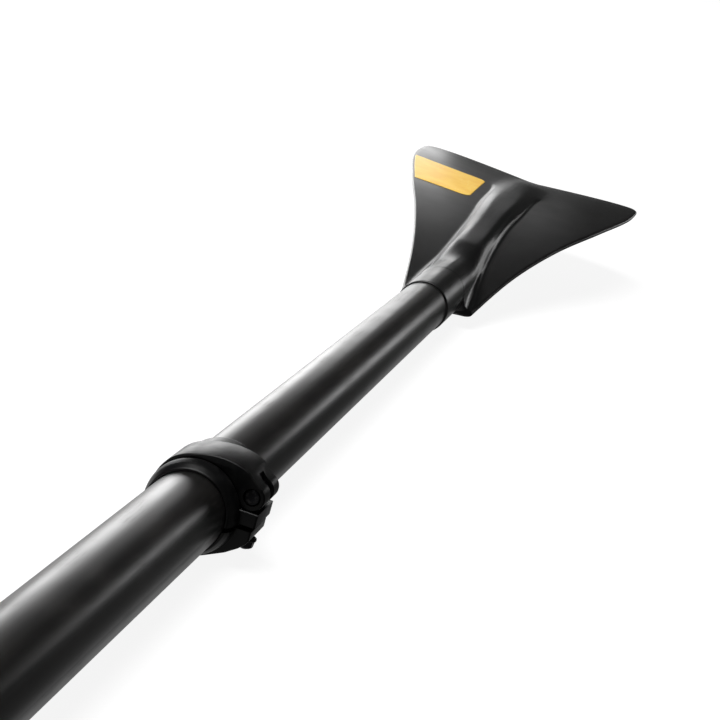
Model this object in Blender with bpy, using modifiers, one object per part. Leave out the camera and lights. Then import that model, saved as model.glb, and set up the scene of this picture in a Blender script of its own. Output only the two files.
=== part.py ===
"""Three-section adjustable stand-up paddleboard paddle, modelled at its real size in metres.

The paddle lies along X with the blade towards +X and the ribbed face of the blade up (+Z).
Inside the file, a station is a distance along the shaft from the mouth of the blade's neck:
positive stations run into the blade, negative ones towards the grip.
"""
import math

import bmesh
import bpy
from mathutils import Vector

# Fits between pieces
GAP = 0.0003

# Shaft tubes
TUBE_RADIUS = 0.0150
TUBE_WALL = 0.0013
HANDLE_TUBE_PLAY = 0.0005
HANDLE_TUBE_WALL = 0.0012
LOWER_TUBE_SHOWN = 0.4090
MID_TUBE_LENGTH = 0.7320
HANDLE_TUBE_LENGTH = 0.5900
HANDLE_TUBE_SHOWN = 0.0350
SLOT_WIDTH = 0.0016
SLOT_LENGTH = 0.0340
SWAGE_STEP = 0.0008
SWAGE_TAPER = 0.0008

# Blade
BLADE_LENGTH = 0.4520
BLADE_HALF_WIDTH = 0.0926
NECK_WALL = 0.0015
SOCKET_DEPTH = 0.0800
HEEL_STATION = 0.0600
HEEL_SPREAD = 0.0075
HEEL_ROUND = 0.0050
PLATE_DROP = 0.0094
CANT_SLOPE = 0.269
SCOOP = 0.43
DIHEDRAL = 0.095
FAR_EDGE_BOW = 0.0210
CORNER_CUT = 0.0260
ROOT_THICKNESS = 0.0050
EDGE_THICKNESS = 0.0028
RIB_SPREAD = 0.0030
RIB_EDGE_HEIGHT = 0.0004
RIB_BLEND_LENGTH = 0.0750
RIB_ROUND_SHARE = 0.72
RIB_ROUND_ANGLE = 98.0
RIB_FILLET_BEND = 0.99
RIB_FILLET_REACH = 0.0012
RIB_FLANK_POWER = 1.25
CREST_BLEND = (0.03, 0.20)
KEEL_END_STATION = 0.2000
KEEL_BLEND_LENGTH = 0.0400
KEEL_NECK_ANGLE = 52.0
FAR_EDGE_THINNING = 0.45

# Label on the blade
LABEL_STATION = 0.2740
LABEL_LENGTH = 0.0730
LABEL_INSET = 0.0265
LABEL_EDGE_MARGIN = 0.0032
LABEL_THICKNESS = 0.0004
LABEL_CORNER = 0.0090

# Ferrule that joins the lower and middle tubes
FERRULE_WALL = 0.0015
FERRULE_FIXED = 0.0700
FERRULE_REACH = 0.0750
RING_SECTION = 0.0005
RING_GROOVE_DEPTH = 0.0012
RING_GROOVE_WIDTH = 0.0020
RING_SETBACK = 0.0100
KEY_HEIGHT = 0.0010

# Plugs and the slider at the inner end of the handle tube
FLOAT_PLUG_LENGTH = 0.0600
FERRULE_PLUG_LENGTH = 0.0250
PLUG_SETBACK = 0.0080
FERRULE_PLUG_SETBACK = 0.0010
PLUG_CHAMFER = 0.0010
SLIDER_FLANGE_LENGTH = 0.0140
SLIDER_STEM_LENGTH = 0.0250

# Lever clamps
CLAMP_LENGTH = 0.0450
CLAMP_LIP = 0.0040
COLLAR_WALL = 0.0017
COLLAR_END_WALL = 0.0007
COLLAR_RIB_HEIGHT = 0.0011
COLLAR_RIB_SETBACK = 0.0082
COLLAR_ROUND = 0.0010
BLOCK_LENGTH = 0.0210
BLOCK_SETBACK = 0.0090
BLOCK_ROUND = 0.0008
FOOT_DROP = 0.0035
FOOT_NEAR_REACH = 0.0065
FOOT_FAR_REACH = 0.0090
WEB_BEND_REACH = 0.0095
SPLIT_GAP = 0.0020
SPLIT_LEVEL = -0.0020
EAR_MARGIN = 0.0042
UPPER_EAR_TOP = 0.0043
LOWER_EAR_DEPTH = 0.0085
BOLT_SET_OUT = 0.0052
BOLT_RADIUS = 0.0019
WASHER_RADIUS = 0.0040
WASHER_THICKNESS = 0.0008
NUT_RADIUS = 0.0037
NUT_HEIGHT = 0.0028
BARREL_RADIUS = 0.0031
HARDWARE_CHAMFER = 0.0004
LEVER_WIDTH = 0.0200
LEVER_HEAD_RADIUS = 0.0050
CAM_THROW = 0.0002
LEVER_TAIL_THICKNESS = 0.0019
LEVER_HEAD_RISE = 0.0090
LEVER_HEAD_ANGLES = (205.0, 434.0)
LEVER_THROAT_ANGLE = 12.0
LEVER_BACK_ANGLE = 47.0
LEVER_SWELL_END = 105.0
LEVER_SWELL_SPAN = 75.0
LEVER_SWELL_POWER = 1.6
LEVER_TAIL_THINNING = 0.0009
LEVER_THINNING_ANGLES = (122.0, 168.0)
LEVER_TIP_ANGLE = 170.0
LEVER_TIP_TAPER = 3.0
LEVER_OPEN_ANGLE = 150.0
LEVER_ROUND = 0.0006

# T-shaped palm grip
GRIP_STEM_WALL = 0.0031
GRIP_SOCKET_DEPTH = 0.0450
GRIP_LENGTH = 0.0700
GRIP_HALF_WIDTH = 0.0520
GRIP_BAR_DEPTH = 0.0150
GRIP_BAR_HEIGHT = 0.0125
GRIP_BAR_WAIST = 0.10
GRIP_BAR_END_POWER = 5
GRIP_CHAMFER = 0.0010
GRIP_SCREW_STATION = 0.0180
SCREW_HEAD_RADIUS = 0.0030
SCREW_HEAD_HEIGHT = 0.0012
SCREW_SHANK_RADIUS = 0.0015
SCREW_LENGTH = 0.0070

# Facets round a turned piece, and the turn that lays its axis along X
SIDES = 40
ALONG_X = (math.pi / 2, 0.0, math.pi / 2)
ALONG_Y = (-math.pi / 2, 0.0, 0.0)

# Stations worked out from the sizes above
TUBE_BORE = TUBE_RADIUS - TUBE_WALL
HANDLE_TUBE_RADIUS = TUBE_BORE - HANDLE_TUBE_PLAY
HANDLE_BORE = HANDLE_TUBE_RADIUS - HANDLE_TUBE_WALL
COLLAR_BORE = TUBE_RADIUS + GAP
COLLAR_RADIUS = COLLAR_BORE + COLLAR_WALL
SWAGE_RADIUS = TUBE_RADIUS - SWAGE_STEP
SWAGE_BORE = SWAGE_RADIUS - TUBE_WALL
NECK_BORE = SWAGE_RADIUS + GAP
NECK_RADIUS = NECK_BORE + NECK_WALL
HEEL_HALF_WIDTH = NECK_RADIUS + HEEL_SPREAD
RIB_HALF_WIDTH = NECK_RADIUS + RIB_SPREAD
BOLT_OFFSET = TUBE_RADIUS + BOLT_SET_OUT
EAR_REACH = BOLT_OFFSET + EAR_MARGIN
FOOT_DEPTH = TUBE_RADIUS + FOOT_DROP
GRIP_STEM_RADIUS = HANDLE_TUBE_RADIUS + GAP + GRIP_STEM_WALL
PLATE_LENGTH = BLADE_LENGTH - EDGE_THICKNESS / 2
JOINT_STATION = -LOWER_TUBE_SHOWN
MID_TUBE_FRONT = JOINT_STATION - GAP
MID_TUBE_BACK = MID_TUBE_FRONT - MID_TUBE_LENGTH
LOWER_CLAMP_STATION = JOINT_STATION + CLAMP_LIP - CLAMP_LENGTH / 2
UPPER_CLAMP_BACK = MID_TUBE_BACK - GAP - CLAMP_LIP
UPPER_CLAMP_STATION = UPPER_CLAMP_BACK + CLAMP_LENGTH / 2
GRIP_MOUTH = UPPER_CLAMP_BACK - HANDLE_TUBE_SHOWN
GRIP_END = GRIP_MOUTH - GRIP_LENGTH
HANDLE_TUBE_BACK = GRIP_MOUTH - GRIP_SOCKET_DEPTH + GAP
HANDLE_TUBE_FRONT = HANDLE_TUBE_BACK + HANDLE_TUBE_LENGTH
PIVOT_HEIGHT = UPPER_EAR_TOP + GAP + LEVER_HEAD_RADIUS + CAM_THROW

# The origin stands under the middle of the whole paddle, on the surface it lies on
DATUM = Vector((-(BLADE_LENGTH + GRIP_END) / 2, 0.0, FOOT_DEPTH))


def clear_scene():
    """Remove everything that a new file starts with."""
    for item in list(bpy.data.objects):
        bpy.data.objects.remove(item, do_unlink=True)


def new_collection(name):
    """Make a collection in the scene."""
    group = bpy.data.collections.new(name)
    bpy.context.scene.collection.children.link(group)
    return group


def finish(name, colour, roughness, metallic=0.0):
    """Make a Principled material."""
    material = bpy.data.materials.new(name)
    material.use_nodes = True
    shader = material.node_tree.nodes["Principled BSDF"]
    shader.inputs["Base Color"].default_value = (*colour, 1.0)
    shader.inputs["Roughness"].default_value = roughness
    shader.inputs["Metallic"].default_value = metallic
    return material


clear_scene()
PADDLE = new_collection("paddleboard_paddle")
CUTTERS = new_collection("cutters")

ANODISED = finish("black_anodised_aluminium", (0.030, 0.030, 0.032), 0.34, 0.85)
BARE_ALUMINIUM = finish("bare_aluminium", (0.62, 0.63, 0.65), 0.35, 1.0)
NYLON = finish("black_moulded_nylon", (0.012, 0.012, 0.013), 0.38)
GLOSS_NYLON = finish("gloss_black_nylon", (0.008, 0.008, 0.009), 0.22)
GRIP_PLASTIC = finish("soft_black_plastic", (0.018, 0.018, 0.019), 0.62)
LABEL_YELLOW = finish("yellow_label", (0.85, 0.47, 0.06), 0.40)
STEEL = finish("stainless_steel", (0.55, 0.56, 0.58), 0.28, 1.0)
FOAM = finish("grey_foam", (0.24, 0.25, 0.26), 0.90)
RUBBER = finish("black_rubber", (0.015, 0.015, 0.015), 0.75)

DATUM_EMPTY = bpy.data.objects.new("shaft_datum", None)
DATUM_EMPTY.location = DATUM
PADDLE.objects.link(DATUM_EMPTY)


def place(item, location, rotation=(0.0, 0.0, 0.0), material=None):
    """Hang a piece on the shaft datum."""
    PADDLE.objects.link(item)
    item.parent = DATUM_EMPTY
    item.location = location
    item.rotation_euler = rotation
    if material is not None:
        item.data.materials.append(material)
    return item


def place_cutter(item, location, rotation=(0.0, 0.0, 0.0)):
    """Hang a cutter on the shaft datum, hidden from renders."""
    CUTTERS.objects.link(item)
    item.parent = DATUM_EMPTY
    item.location = location
    item.rotation_euler = rotation
    item.hide_render = True
    item.display_type = "WIRE"
    return item


def shade(mesh):
    """Shade a round piece smooth and keep its real edges sharp."""
    mesh.shade_smooth()
    mesh.set_sharp_from_angle(angle=math.radians(35.0))


def turned_object(name, profile, sides=SIDES, closed=True):
    """Turn a profile of (radius, height) points about local Z.

    The points run down the outer side. A closed profile is a ring; an open one starts and
    ends on the axis.
    """
    mesh = bpy.data.meshes.new(name)
    points = [(radius, 0.0, height) for radius, height in profile]
    edges = [(i, i + 1) for i in range(len(points) - 1)]
    if closed:
        edges.append((len(points) - 1, 0))
    mesh.from_pydata(points, edges, [])
    item = bpy.data.objects.new(name, mesh)
    screw = item.modifiers.new("turn", "SCREW")
    screw.axis = "Z"
    screw.angle = 2 * math.pi
    screw.steps = sides
    screw.render_steps = sides
    screw.use_merge_vertices = True
    screw.merge_threshold = 0.00001
    screw.use_smooth_shade = True
    return item


def tube_profile(radius, bore, low, high):
    """Ring profile of a tube between two heights."""
    return [(bore, high), (radius, high), (radius, low), (bore, low)]


def rod_profile(radius, low, high, chamfer=0.0):
    """Solid profile of a rod between two heights."""
    if not chamfer:
        return [(0.0, high), (radius, high), (radius, low), (0.0, low)]
    return [
        (0.0, high),
        (radius - chamfer, high),
        (radius, high - chamfer),
        (radius, low + chamfer),
        (radius - chamfer, low),
        (0.0, low),
    ]


def slab_object(name, outline, width, rounding=0.0):
    """Give a flat outline in local XY a thickness along local Z, as a mesh with rounded rims."""
    curve = bpy.data.curves.new(name, "CURVE")
    curve.dimensions = "2D"
    curve.fill_mode = "BOTH"
    curve.extrude = width / 2 - rounding
    curve.bevel_depth = rounding
    curve.bevel_resolution = 0
    curve.offset = -rounding
    spline = curve.splines.new("POLY")
    spline.points.add(len(outline) - 1)
    for point, (across, up) in zip(spline.points, outline):
        point.co = (across, up, 0.0, 1.0)
    spline.use_cyclic_u = True
    source = bpy.data.objects.new(name + "_outline", curve)
    PADDLE.objects.link(source)
    graph = bpy.context.evaluated_depsgraph_get()
    mesh = bpy.data.meshes.new_from_object(source.evaluated_get(graph))
    bpy.data.objects.remove(source, do_unlink=True)
    work = bmesh.new()
    work.from_mesh(mesh)
    bmesh.ops.remove_doubles(work, verts=work.verts, dist=0.000001)
    bmesh.ops.recalc_face_normals(work, faces=work.faces)
    work.to_mesh(mesh)
    work.free()
    mesh.name = name
    return bpy.data.objects.new(name, mesh)


def box_object(name, size):
    """Make a box of the given size about its own centre."""
    mesh = bpy.data.meshes.new(name)
    work = bmesh.new()
    bmesh.ops.create_cube(work, size=1.0)
    bmesh.ops.scale(work, vec=size, verts=work.verts)
    work.to_mesh(mesh)
    work.free()
    return bpy.data.objects.new(name, mesh)


def boolean(item, cutter, operation="DIFFERENCE"):
    """Cut one piece with another, or join them."""
    modifier = item.modifiers.new(cutter.name, "BOOLEAN")
    modifier.operation = operation
    modifier.object = cutter
    modifier.solver = "EXACT"


def smooth_step(value, low, high):
    """Ease from 0 at low to 1 at high."""
    ratio = min(max((value - low) / (high - low), 0.0), 1.0)
    return ratio * ratio * (3.0 - 2.0 * ratio)


def smooth_line(points, value):
    """Read a smooth curve through (position, height) points."""
    if value <= points[0][0]:
        return points[0][1]
    if value >= points[-1][0]:
        return points[-1][1]
    count = len(points)
    slopes = []
    for i in range(count):
        before, after = points[max(i - 1, 0)], points[min(i + 1, count - 1)]
        slopes.append((after[1] - before[1]) / (after[0] - before[0]))
    index = max(i for i in range(count - 1) if points[i][0] <= value)
    (x0, y0), (x1, y1) = points[index], points[index + 1]
    span = x1 - x0
    t = (value - x0) / span
    start = (2 * t ** 3 - 3 * t ** 2 + 1) * y0 + (t ** 3 - 2 * t ** 2 + t) * span * slopes[index]
    end = (3 * t ** 2 - 2 * t ** 3) * y1 + (t ** 3 - t ** 2) * span * slopes[index + 1]
    return start + end


# Blade: a plate that flares from the heel, with a rib on top and a short keel below

CORNER_STATION = PLATE_LENGTH - FAR_EDGE_BOW
FLARE = [(0.0, 0.0), (0.2, 0.19), (0.4, 0.443), (0.6, 0.735), (0.8, 0.955), (1.0, 1.0)]
CREST_OVER_PLATE = [(0.20, 0.0112), (0.33, 0.0074), (0.48, 0.0064), (0.64, 0.0057), (0.80, 0.0048)]


def side_half_width(station):
    """Half-width of the blade's plate at a station between the heel and the corner."""
    share = (station - HEEL_STATION) / (CORNER_STATION - HEEL_STATION)
    return HEEL_HALF_WIDTH + (BLADE_HALF_WIDTH - HEEL_HALF_WIDTH) * smooth_line(FLARE, share)


def plate_middle(station, across):
    """Height of the plate's middle surface over the shaft's axis."""
    run = station - HEEL_STATION
    share = min(max(run / (PLATE_LENGTH - HEEL_STATION), 0.0), 1.0)
    return -PLATE_DROP + CANT_SLOPE * run - SCOOP * run * run + DIHEDRAL * share * abs(across)


def plate_half_thickness(across, half_width):
    """Half the plate's thickness, thinner towards its edge."""
    share = min(abs(across) / half_width, 1.0)
    return (ROOT_THICKNESS + (EDGE_THICKNESS - ROOT_THICKNESS) * share) / 2


def plate_stations():
    """Rows of the plate as (side station, half-width, centre station), heel to far edge."""
    cut_station = CORNER_STATION - CORNER_CUT
    corner = Vector((CORNER_STATION, BLADE_HALF_WIDTH))
    side_end = Vector((cut_station, side_half_width(cut_station)))
    edge_half = BLADE_HALF_WIDTH - CORNER_CUT
    bow = FAR_EDGE_BOW * (edge_half / BLADE_HALF_WIDTH) ** 2
    edge_end = Vector((PLATE_LENGTH - bow, edge_half))
    rows = []
    steps = 14
    for i in range(1, steps + 1):
        station = HEEL_STATION + (cut_station - HEEL_STATION) * (i / steps)
        rows.append(Vector((station, side_half_width(station))))
    for share in (0.17, 0.34, 0.5):
        rows.append((1 - share) ** 2 * side_end + 2 * share * (1 - share) * corner + share ** 2 * edge_end)
    last = rows[-1].x
    bend_start = HEEL_STATION + (last - HEEL_STATION) / 2
    result = []
    for row in rows:
        ease = max((row.x - bend_start) / (last - bend_start), 0.0) ** 2.5
        result.append((row.x, row.y, row.x + (PLATE_LENGTH - last) * ease))
    return result


def bowed_station(row, across):
    """Station of a point on a bowed row of the plate."""
    side, half_width, centre = row
    share = min(abs(across) / half_width, 1.0)
    return centre + (side - centre) * (0.72 * share ** 2 + 0.28 * share ** 8)


def crest_height(station):
    """Height of the rib's crest over the shaft's axis."""
    share = (station - HEEL_STATION) / (PLATE_LENGTH - HEEL_STATION)
    top = plate_middle(station, 0.0) + ROOT_THICKNESS / 2
    over = smooth_line(CREST_OVER_PLATE + [(1.0, RIB_EDGE_HEIGHT)], share)
    blend = smooth_step(share, *CREST_BLEND)
    return (1 - blend) * NECK_RADIUS + blend * (top + over)


def keel_depth(station):
    """Height of the keel's lowest line under the plate, over the shaft's axis."""
    bottom = plate_middle(station, 0.0) - ROOT_THICKNESS / 2
    blend = smooth_step(station, SOCKET_DEPTH, KEEL_END_STATION)
    return (1 - blend) * -NECK_RADIUS + blend * bottom


RIB_STEPS = 8
WING_SHARES = (0.10, 0.28, 0.52, 0.78, 0.94)


def neck_arc(low_angle, high_angle, count):
    """Points on the neck's round outer surface, as (across, up)."""
    angles = [math.radians(low_angle + (high_angle - low_angle) * i / count) for i in range(count + 1)]
    return [(NECK_RADIUS * math.cos(a), NECK_RADIUS * math.sin(a)) for a in angles]


def neck_half_loop():
    """Half of the neck's outline in the same point order as a plate row."""
    wing_count = len(WING_SHARES)
    root = math.degrees(math.asin(-PLATE_DROP / NECK_RADIUS))
    upper = neck_arc(90.0, root + 5.0, RIB_STEPS)
    side = neck_arc(root + 5.0, root - 5.0, 2 * wing_count + 2)[1:-1]
    lower = neck_arc(root - 5.0, -90.0, RIB_STEPS)
    return upper + side + lower


def rib_half(row, count):
    """Half of the rib's outline from its crest to its root, as (station, across, up)."""
    centre = row[2]
    blend = smooth_step(centre, SOCKET_DEPTH, SOCKET_DEPTH + RIB_BLEND_LENGTH)
    root_level = plate_middle(centre, 0.0) + ROOT_THICKNESS / 2
    rise = crest_height(centre) - root_level
    low = math.radians(90.0 - RIB_ROUND_ANGLE)
    start = NECK_RADIUS * Vector((math.cos(low), math.sin(low)))
    bend = Vector((NECK_RADIUS * RIB_FILLET_BEND, root_level))
    stop = Vector((RIB_HALF_WIDTH + RIB_FILLET_REACH, root_level))
    points = []
    for i in range(count + 1):
        share = i / count
        if share < RIB_ROUND_SHARE:
            angle = math.radians(90.0 - RIB_ROUND_ANGLE * share / RIB_ROUND_SHARE)
            near = NECK_RADIUS * Vector((math.cos(angle), math.sin(angle)))
        else:
            t = (share - RIB_ROUND_SHARE) / (1 - RIB_ROUND_SHARE)
            near = (1 - t) ** 2 * start + 2 * t * (1 - t) * bend + t * t * stop
        across = RIB_HALF_WIDTH * share
        station = bowed_station(row, across)
        plate = plate_middle(station, across) + plate_half_thickness(across, row[1])
        far_up = plate + rise * (0.5 + 0.5 * math.cos(math.pi * share ** RIB_FLANK_POWER))
        across = near.x * (1 - blend) + across * blend
        points.append((bowed_station(row, across), across, near.y * (1 - blend) + far_up * blend))
    return points


def keel_half(row, count):
    """Half of the keel's outline from its root to its lowest line, as (station, across, up)."""
    centre = row[2]
    blend = smooth_step(centre, SOCKET_DEPTH, SOCKET_DEPTH + KEEL_BLEND_LENGTH)
    depth = plate_middle(centre, 0.0) - ROOT_THICKNESS / 2 - keel_depth(centre)
    points = []
    for i in range(count + 1):
        share = 1.0 - i / count
        angle = math.radians(KEEL_NECK_ANGLE * share)
        near = (NECK_RADIUS * math.sin(angle), -NECK_RADIUS * math.cos(angle))
        across = RIB_HALF_WIDTH * share
        station = bowed_station(row, across)
        plate = plate_middle(station, across) - plate_half_thickness(across, row[1])
        far_up = plate - depth * (0.5 + 0.5 * math.cos(math.pi * share))
        across = near[0] * (1 - blend) + across * blend
        up = near[1] * (1 - blend) + far_up * blend
        points.append((bowed_station(row, across), across, up))
    return points


def plate_half_loop(row):
    """Half of a plate row's outline, from the crest round the edge to the keel's lowest line."""
    half_width = row[1]
    upper = rib_half(row, RIB_STEPS)
    lower = keel_half(row, RIB_STEPS)
    edge_half = EDGE_THICKNESS / 2
    root_up, root_low = upper[-1][1], lower[0][1]
    wing_top, wing_low = [], []
    for share in WING_SHARES:
        across = root_up + (half_width - edge_half - root_up) * share
        station = bowed_station(row, across)
        level = plate_middle(station, across) + plate_half_thickness(across, half_width)
        wing_top.append((station, across, level))
        across = root_low + (half_width - edge_half - root_low) * share
        station = bowed_station(row, across)
        level = plate_middle(station, across) - plate_half_thickness(across, half_width)
        wing_low.append((station, across, level))
    rim_station = bowed_station(row, half_width)
    rim = (rim_station, half_width, plate_middle(rim_station, half_width))
    return upper + wing_top + [rim] + wing_low[::-1] + lower


def full_loop(half):
    """Mirror a half outline, given as (station, across, up), across the blade's middle plane."""
    other = [(station, -across, up) for station, across, up in half[1:-1]]
    return half + other[::-1]


def heel_loops():
    """Outlines that round the heel, from the neck out to the first full plate row."""
    root = NECK_RADIUS * math.cos(math.asin(PLATE_DROP / NECK_RADIUS))
    loops = []
    for angle in (20.0, 45.0, 70.0, 90.0):
        station = HEEL_STATION + HEEL_ROUND * (0.5 - math.cos(math.radians(angle)))
        share = math.sin(math.radians(angle))
        full = side_half_width(max(station, HEEL_STATION))
        half_width = root + (full - root) * share
        row = (station, max(half_width, root + 0.001), station)
        mixed = []
        for (near_across, near_up), (_, across, up) in zip(neck_half_loop(), plate_half_loop(row)):
            mixed_across = near_across + (across - near_across) * share
            mixed_up = near_up + (up - near_up) * share
            mixed.append((station, mixed_across, mixed_up))
        loops.append(full_loop(mixed))
    return loops


def far_edge_loop(row):
    """Narrow closing outline just outside the last plate row, which rounds the far edge."""
    shifted = []
    for station, across, up in plate_half_loop(row):
        plate = plate_middle(station, across)
        outward = EDGE_THICKNESS / 2 * (1 - min(abs(across) / row[1], 1.0) ** 4)
        shifted.append((station + outward, across, plate + (up - plate) * FAR_EDGE_THINNING))
    return full_loop(shifted)


def build_blade():
    """Moulded blade with its hollow neck."""
    neck = neck_half_loop()
    neck_stations = (0.0, HEEL_STATION - HEEL_ROUND * 2.4, HEEL_STATION - HEEL_ROUND * 0.6)
    loops = [full_loop([(s, across, up) for across, up in neck]) for s in neck_stations]
    loops += heel_loops()
    rows = plate_stations()
    loops += [full_loop(plate_half_loop(row)) for row in rows]
    loops.append(far_edge_loop(rows[-1]))
    work = bmesh.new()
    rings = [[work.verts.new((s, across, up)) for s, across, up in loop] for loop in loops]
    count = len(rings[0])
    for first, second in zip(rings, rings[1:]):
        for i in range(count):
            j = (i + 1) % count
            work.faces.new((first[i], second[i], second[j], first[j]))
    work.faces.new(rings[0])
    last = rings[-1]
    rim = count // 4
    for i in range(-rim, rim):
        top, bottom = abs(i), 2 * rim - abs(i)
        next_top, next_bottom = abs(i + 1), 2 * rim - abs(i + 1)
        if i < 0:
            top, bottom, next_top, next_bottom = -top, -bottom, -next_top, -next_bottom
        corners = [last[n % count] for n in (top, bottom, next_bottom, next_top)]
        work.faces.new([v for n, v in enumerate(corners) if v not in corners[:n]])
    mesh = bpy.data.meshes.new("blade")
    work.to_mesh(mesh)
    work.free()
    shade(mesh)
    blade = place(bpy.data.objects.new("blade", mesh), (0.0, 0.0, 0.0), material=NYLON)
    socket = turned_object("blade_socket", [
        (0.0, SOCKET_DEPTH),
        (NECK_BORE, SOCKET_DEPTH),
        (NECK_BORE, SWAGE_TAPER),
        (NECK_BORE + SWAGE_TAPER / 2, 0.0),
        (NECK_BORE + SWAGE_TAPER / 2, -SWAGE_TAPER),
        (0.0, -SWAGE_TAPER),
    ], closed=False)
    boolean(blade, place_cutter(socket, (0.0, 0.0, 0.0), ALONG_X))
    return blade


def build_label():
    """Thin label on the left half of the blade's upper face."""
    rows, columns = 7, 8
    work = bmesh.new()
    layers = []
    for offset in (GAP, GAP + LABEL_THICKNESS):
        grid = []
        for i in range(rows + 1):
            share = 0.5 - 0.5 * math.cos(math.pi * i / rows)
            station = LABEL_STATION + LABEL_LENGTH * share
            from_end = min(share, 1 - share) * LABEL_LENGTH
            reach = 1 - min(from_end / LABEL_CORNER, 1.0)
            inner = LABEL_INSET + LABEL_CORNER * (1 - math.sqrt(max(0.0, 1 - reach ** 2)))
            outer = side_half_width(station) - LABEL_EDGE_MARGIN
            line = []
            for j in range(columns + 1):
                across = inner + (outer - inner) * j / columns
                half = plate_half_thickness(across, side_half_width(station))
                level = plate_middle(station, across) + half + offset
                line.append(work.verts.new((station, across, level)))
            grid.append(line)
        layers.append(grid)
    lower, upper = layers
    for i in range(rows):
        for j in range(columns):
            for grid in layers:
                work.faces.new((grid[i][j], grid[i + 1][j], grid[i + 1][j + 1], grid[i][j + 1]))
        for j in (0, columns):
            work.faces.new((lower[i][j], lower[i + 1][j], upper[i + 1][j], upper[i][j]))
    for j in range(columns):
        for i in (0, rows):
            work.faces.new((lower[i][j], lower[i][j + 1], upper[i][j + 1], upper[i][j]))
    bmesh.ops.recalc_face_normals(work, faces=work.faces)
    mesh = bpy.data.meshes.new("blade_label")
    work.to_mesh(mesh)
    work.free()
    return place(bpy.data.objects.new("blade_label", mesh), (0.0, 0.0, 0.0), material=LABEL_YELLOW)


def build_tube(name, radius, wall, low, high, material, slots=()):
    """Round tube along the shaft, with compression slots at the ends named."""
    tube = place(turned_object(name, tube_profile(radius, radius - wall, low, high)),
                 (0.0, 0.0, 0.0), ALONG_X, material)
    for end in slots:
        slot = box_object(f"{name}_slot_{len(tube.modifiers)}", (SLOT_LENGTH * 2, radius * 2, SLOT_WIDTH))
        boolean(tube, place_cutter(slot, (end, -radius, 0.0)))
    return tube


def build_plug(name, radius, low, high, material):
    """Solid round plug inside a tube."""
    profile = rod_profile(radius, low, high, PLUG_CHAMFER)
    return place(turned_object(name, profile, closed=False), (0.0, 0.0, 0.0), ALONG_X, material)


def build_ring(name, groove_radius, station, material):
    """Rubber ring that sits in a groove of the given bottom radius."""
    centre = groove_radius + GAP + RING_SECTION
    profile = []
    for i in range(8):
        angle = math.pi / 2 - 2 * math.pi * i / 8
        across = RING_SECTION * math.cos(angle)
        along = RING_SECTION * math.sin(angle)
        profile.append((centre + across, station + along))
    return place(turned_object(name, profile), (0.0, 0.0, 0.0), ALONG_X, material)


def grooved_profile(radius, bore, low, high, groove_station):
    """Ring profile of a sleeve with one groove round its outside."""
    half = RING_GROOVE_WIDTH / 2
    floor = radius - RING_GROOVE_DEPTH
    return [
        (bore, high),
        (radius, high),
        (radius, groove_station + half),
        (floor, groove_station + half),
        (floor, groove_station - half),
        (radius, groove_station - half),
        (radius, low),
        (bore, low),
    ]


def build_lower_section():
    """Tube, ferrule, plug and seal that stay with the blade."""
    place(turned_object("lower_shaft", [
        (SWAGE_BORE, SOCKET_DEPTH - GAP),
        (SWAGE_RADIUS, SOCKET_DEPTH - GAP),
        (SWAGE_RADIUS, 0.0),
        (TUBE_RADIUS, -SWAGE_TAPER),
        (TUBE_RADIUS, JOINT_STATION),
        (TUBE_BORE, JOINT_STATION),
        (TUBE_BORE, -SWAGE_TAPER * 2),
        (SWAGE_BORE, -SWAGE_TAPER),
    ]), (0.0, 0.0, 0.0), ALONG_X, ANODISED)
    plug_low = SOCKET_DEPTH - PLUG_SETBACK - FLOAT_PLUG_LENGTH
    build_plug("lower_float_plug", SWAGE_BORE - GAP, plug_low, plug_low + FLOAT_PLUG_LENGTH, FOAM)
    radius = TUBE_BORE - GAP
    low, high = JOINT_STATION - FERRULE_REACH, JOINT_STATION + FERRULE_FIXED
    ring_station = low + RING_SETBACK
    profile = grooved_profile(radius, radius - FERRULE_WALL, low, high, ring_station)
    ferrule = turned_object("joint_ferrule", profile)
    place(ferrule, (0.0, 0.0, 0.0), ALONG_X, BARE_ALUMINIUM)
    key_length = SLOT_LENGTH - 4 * GAP
    key_rise = KEY_HEIGHT + FERRULE_WALL / 2
    key = box_object("ferrule_key", (key_length, key_rise, SLOT_WIDTH - 2 * GAP))
    key_place = (MID_TUBE_FRONT - SLOT_LENGTH / 2, -radius - KEY_HEIGHT + key_rise / 2, 0.0)
    boolean(ferrule, place_cutter(key, key_place), "UNION")
    build_ring("joint_seal_ring", radius - RING_GROOVE_DEPTH, ring_station, RUBBER)
    plug_radius = radius - FERRULE_WALL - GAP
    plug_low = low + FERRULE_PLUG_SETBACK
    build_plug("ferrule_plug", plug_radius, plug_low, plug_low + FERRULE_PLUG_LENGTH, FOAM)


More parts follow.
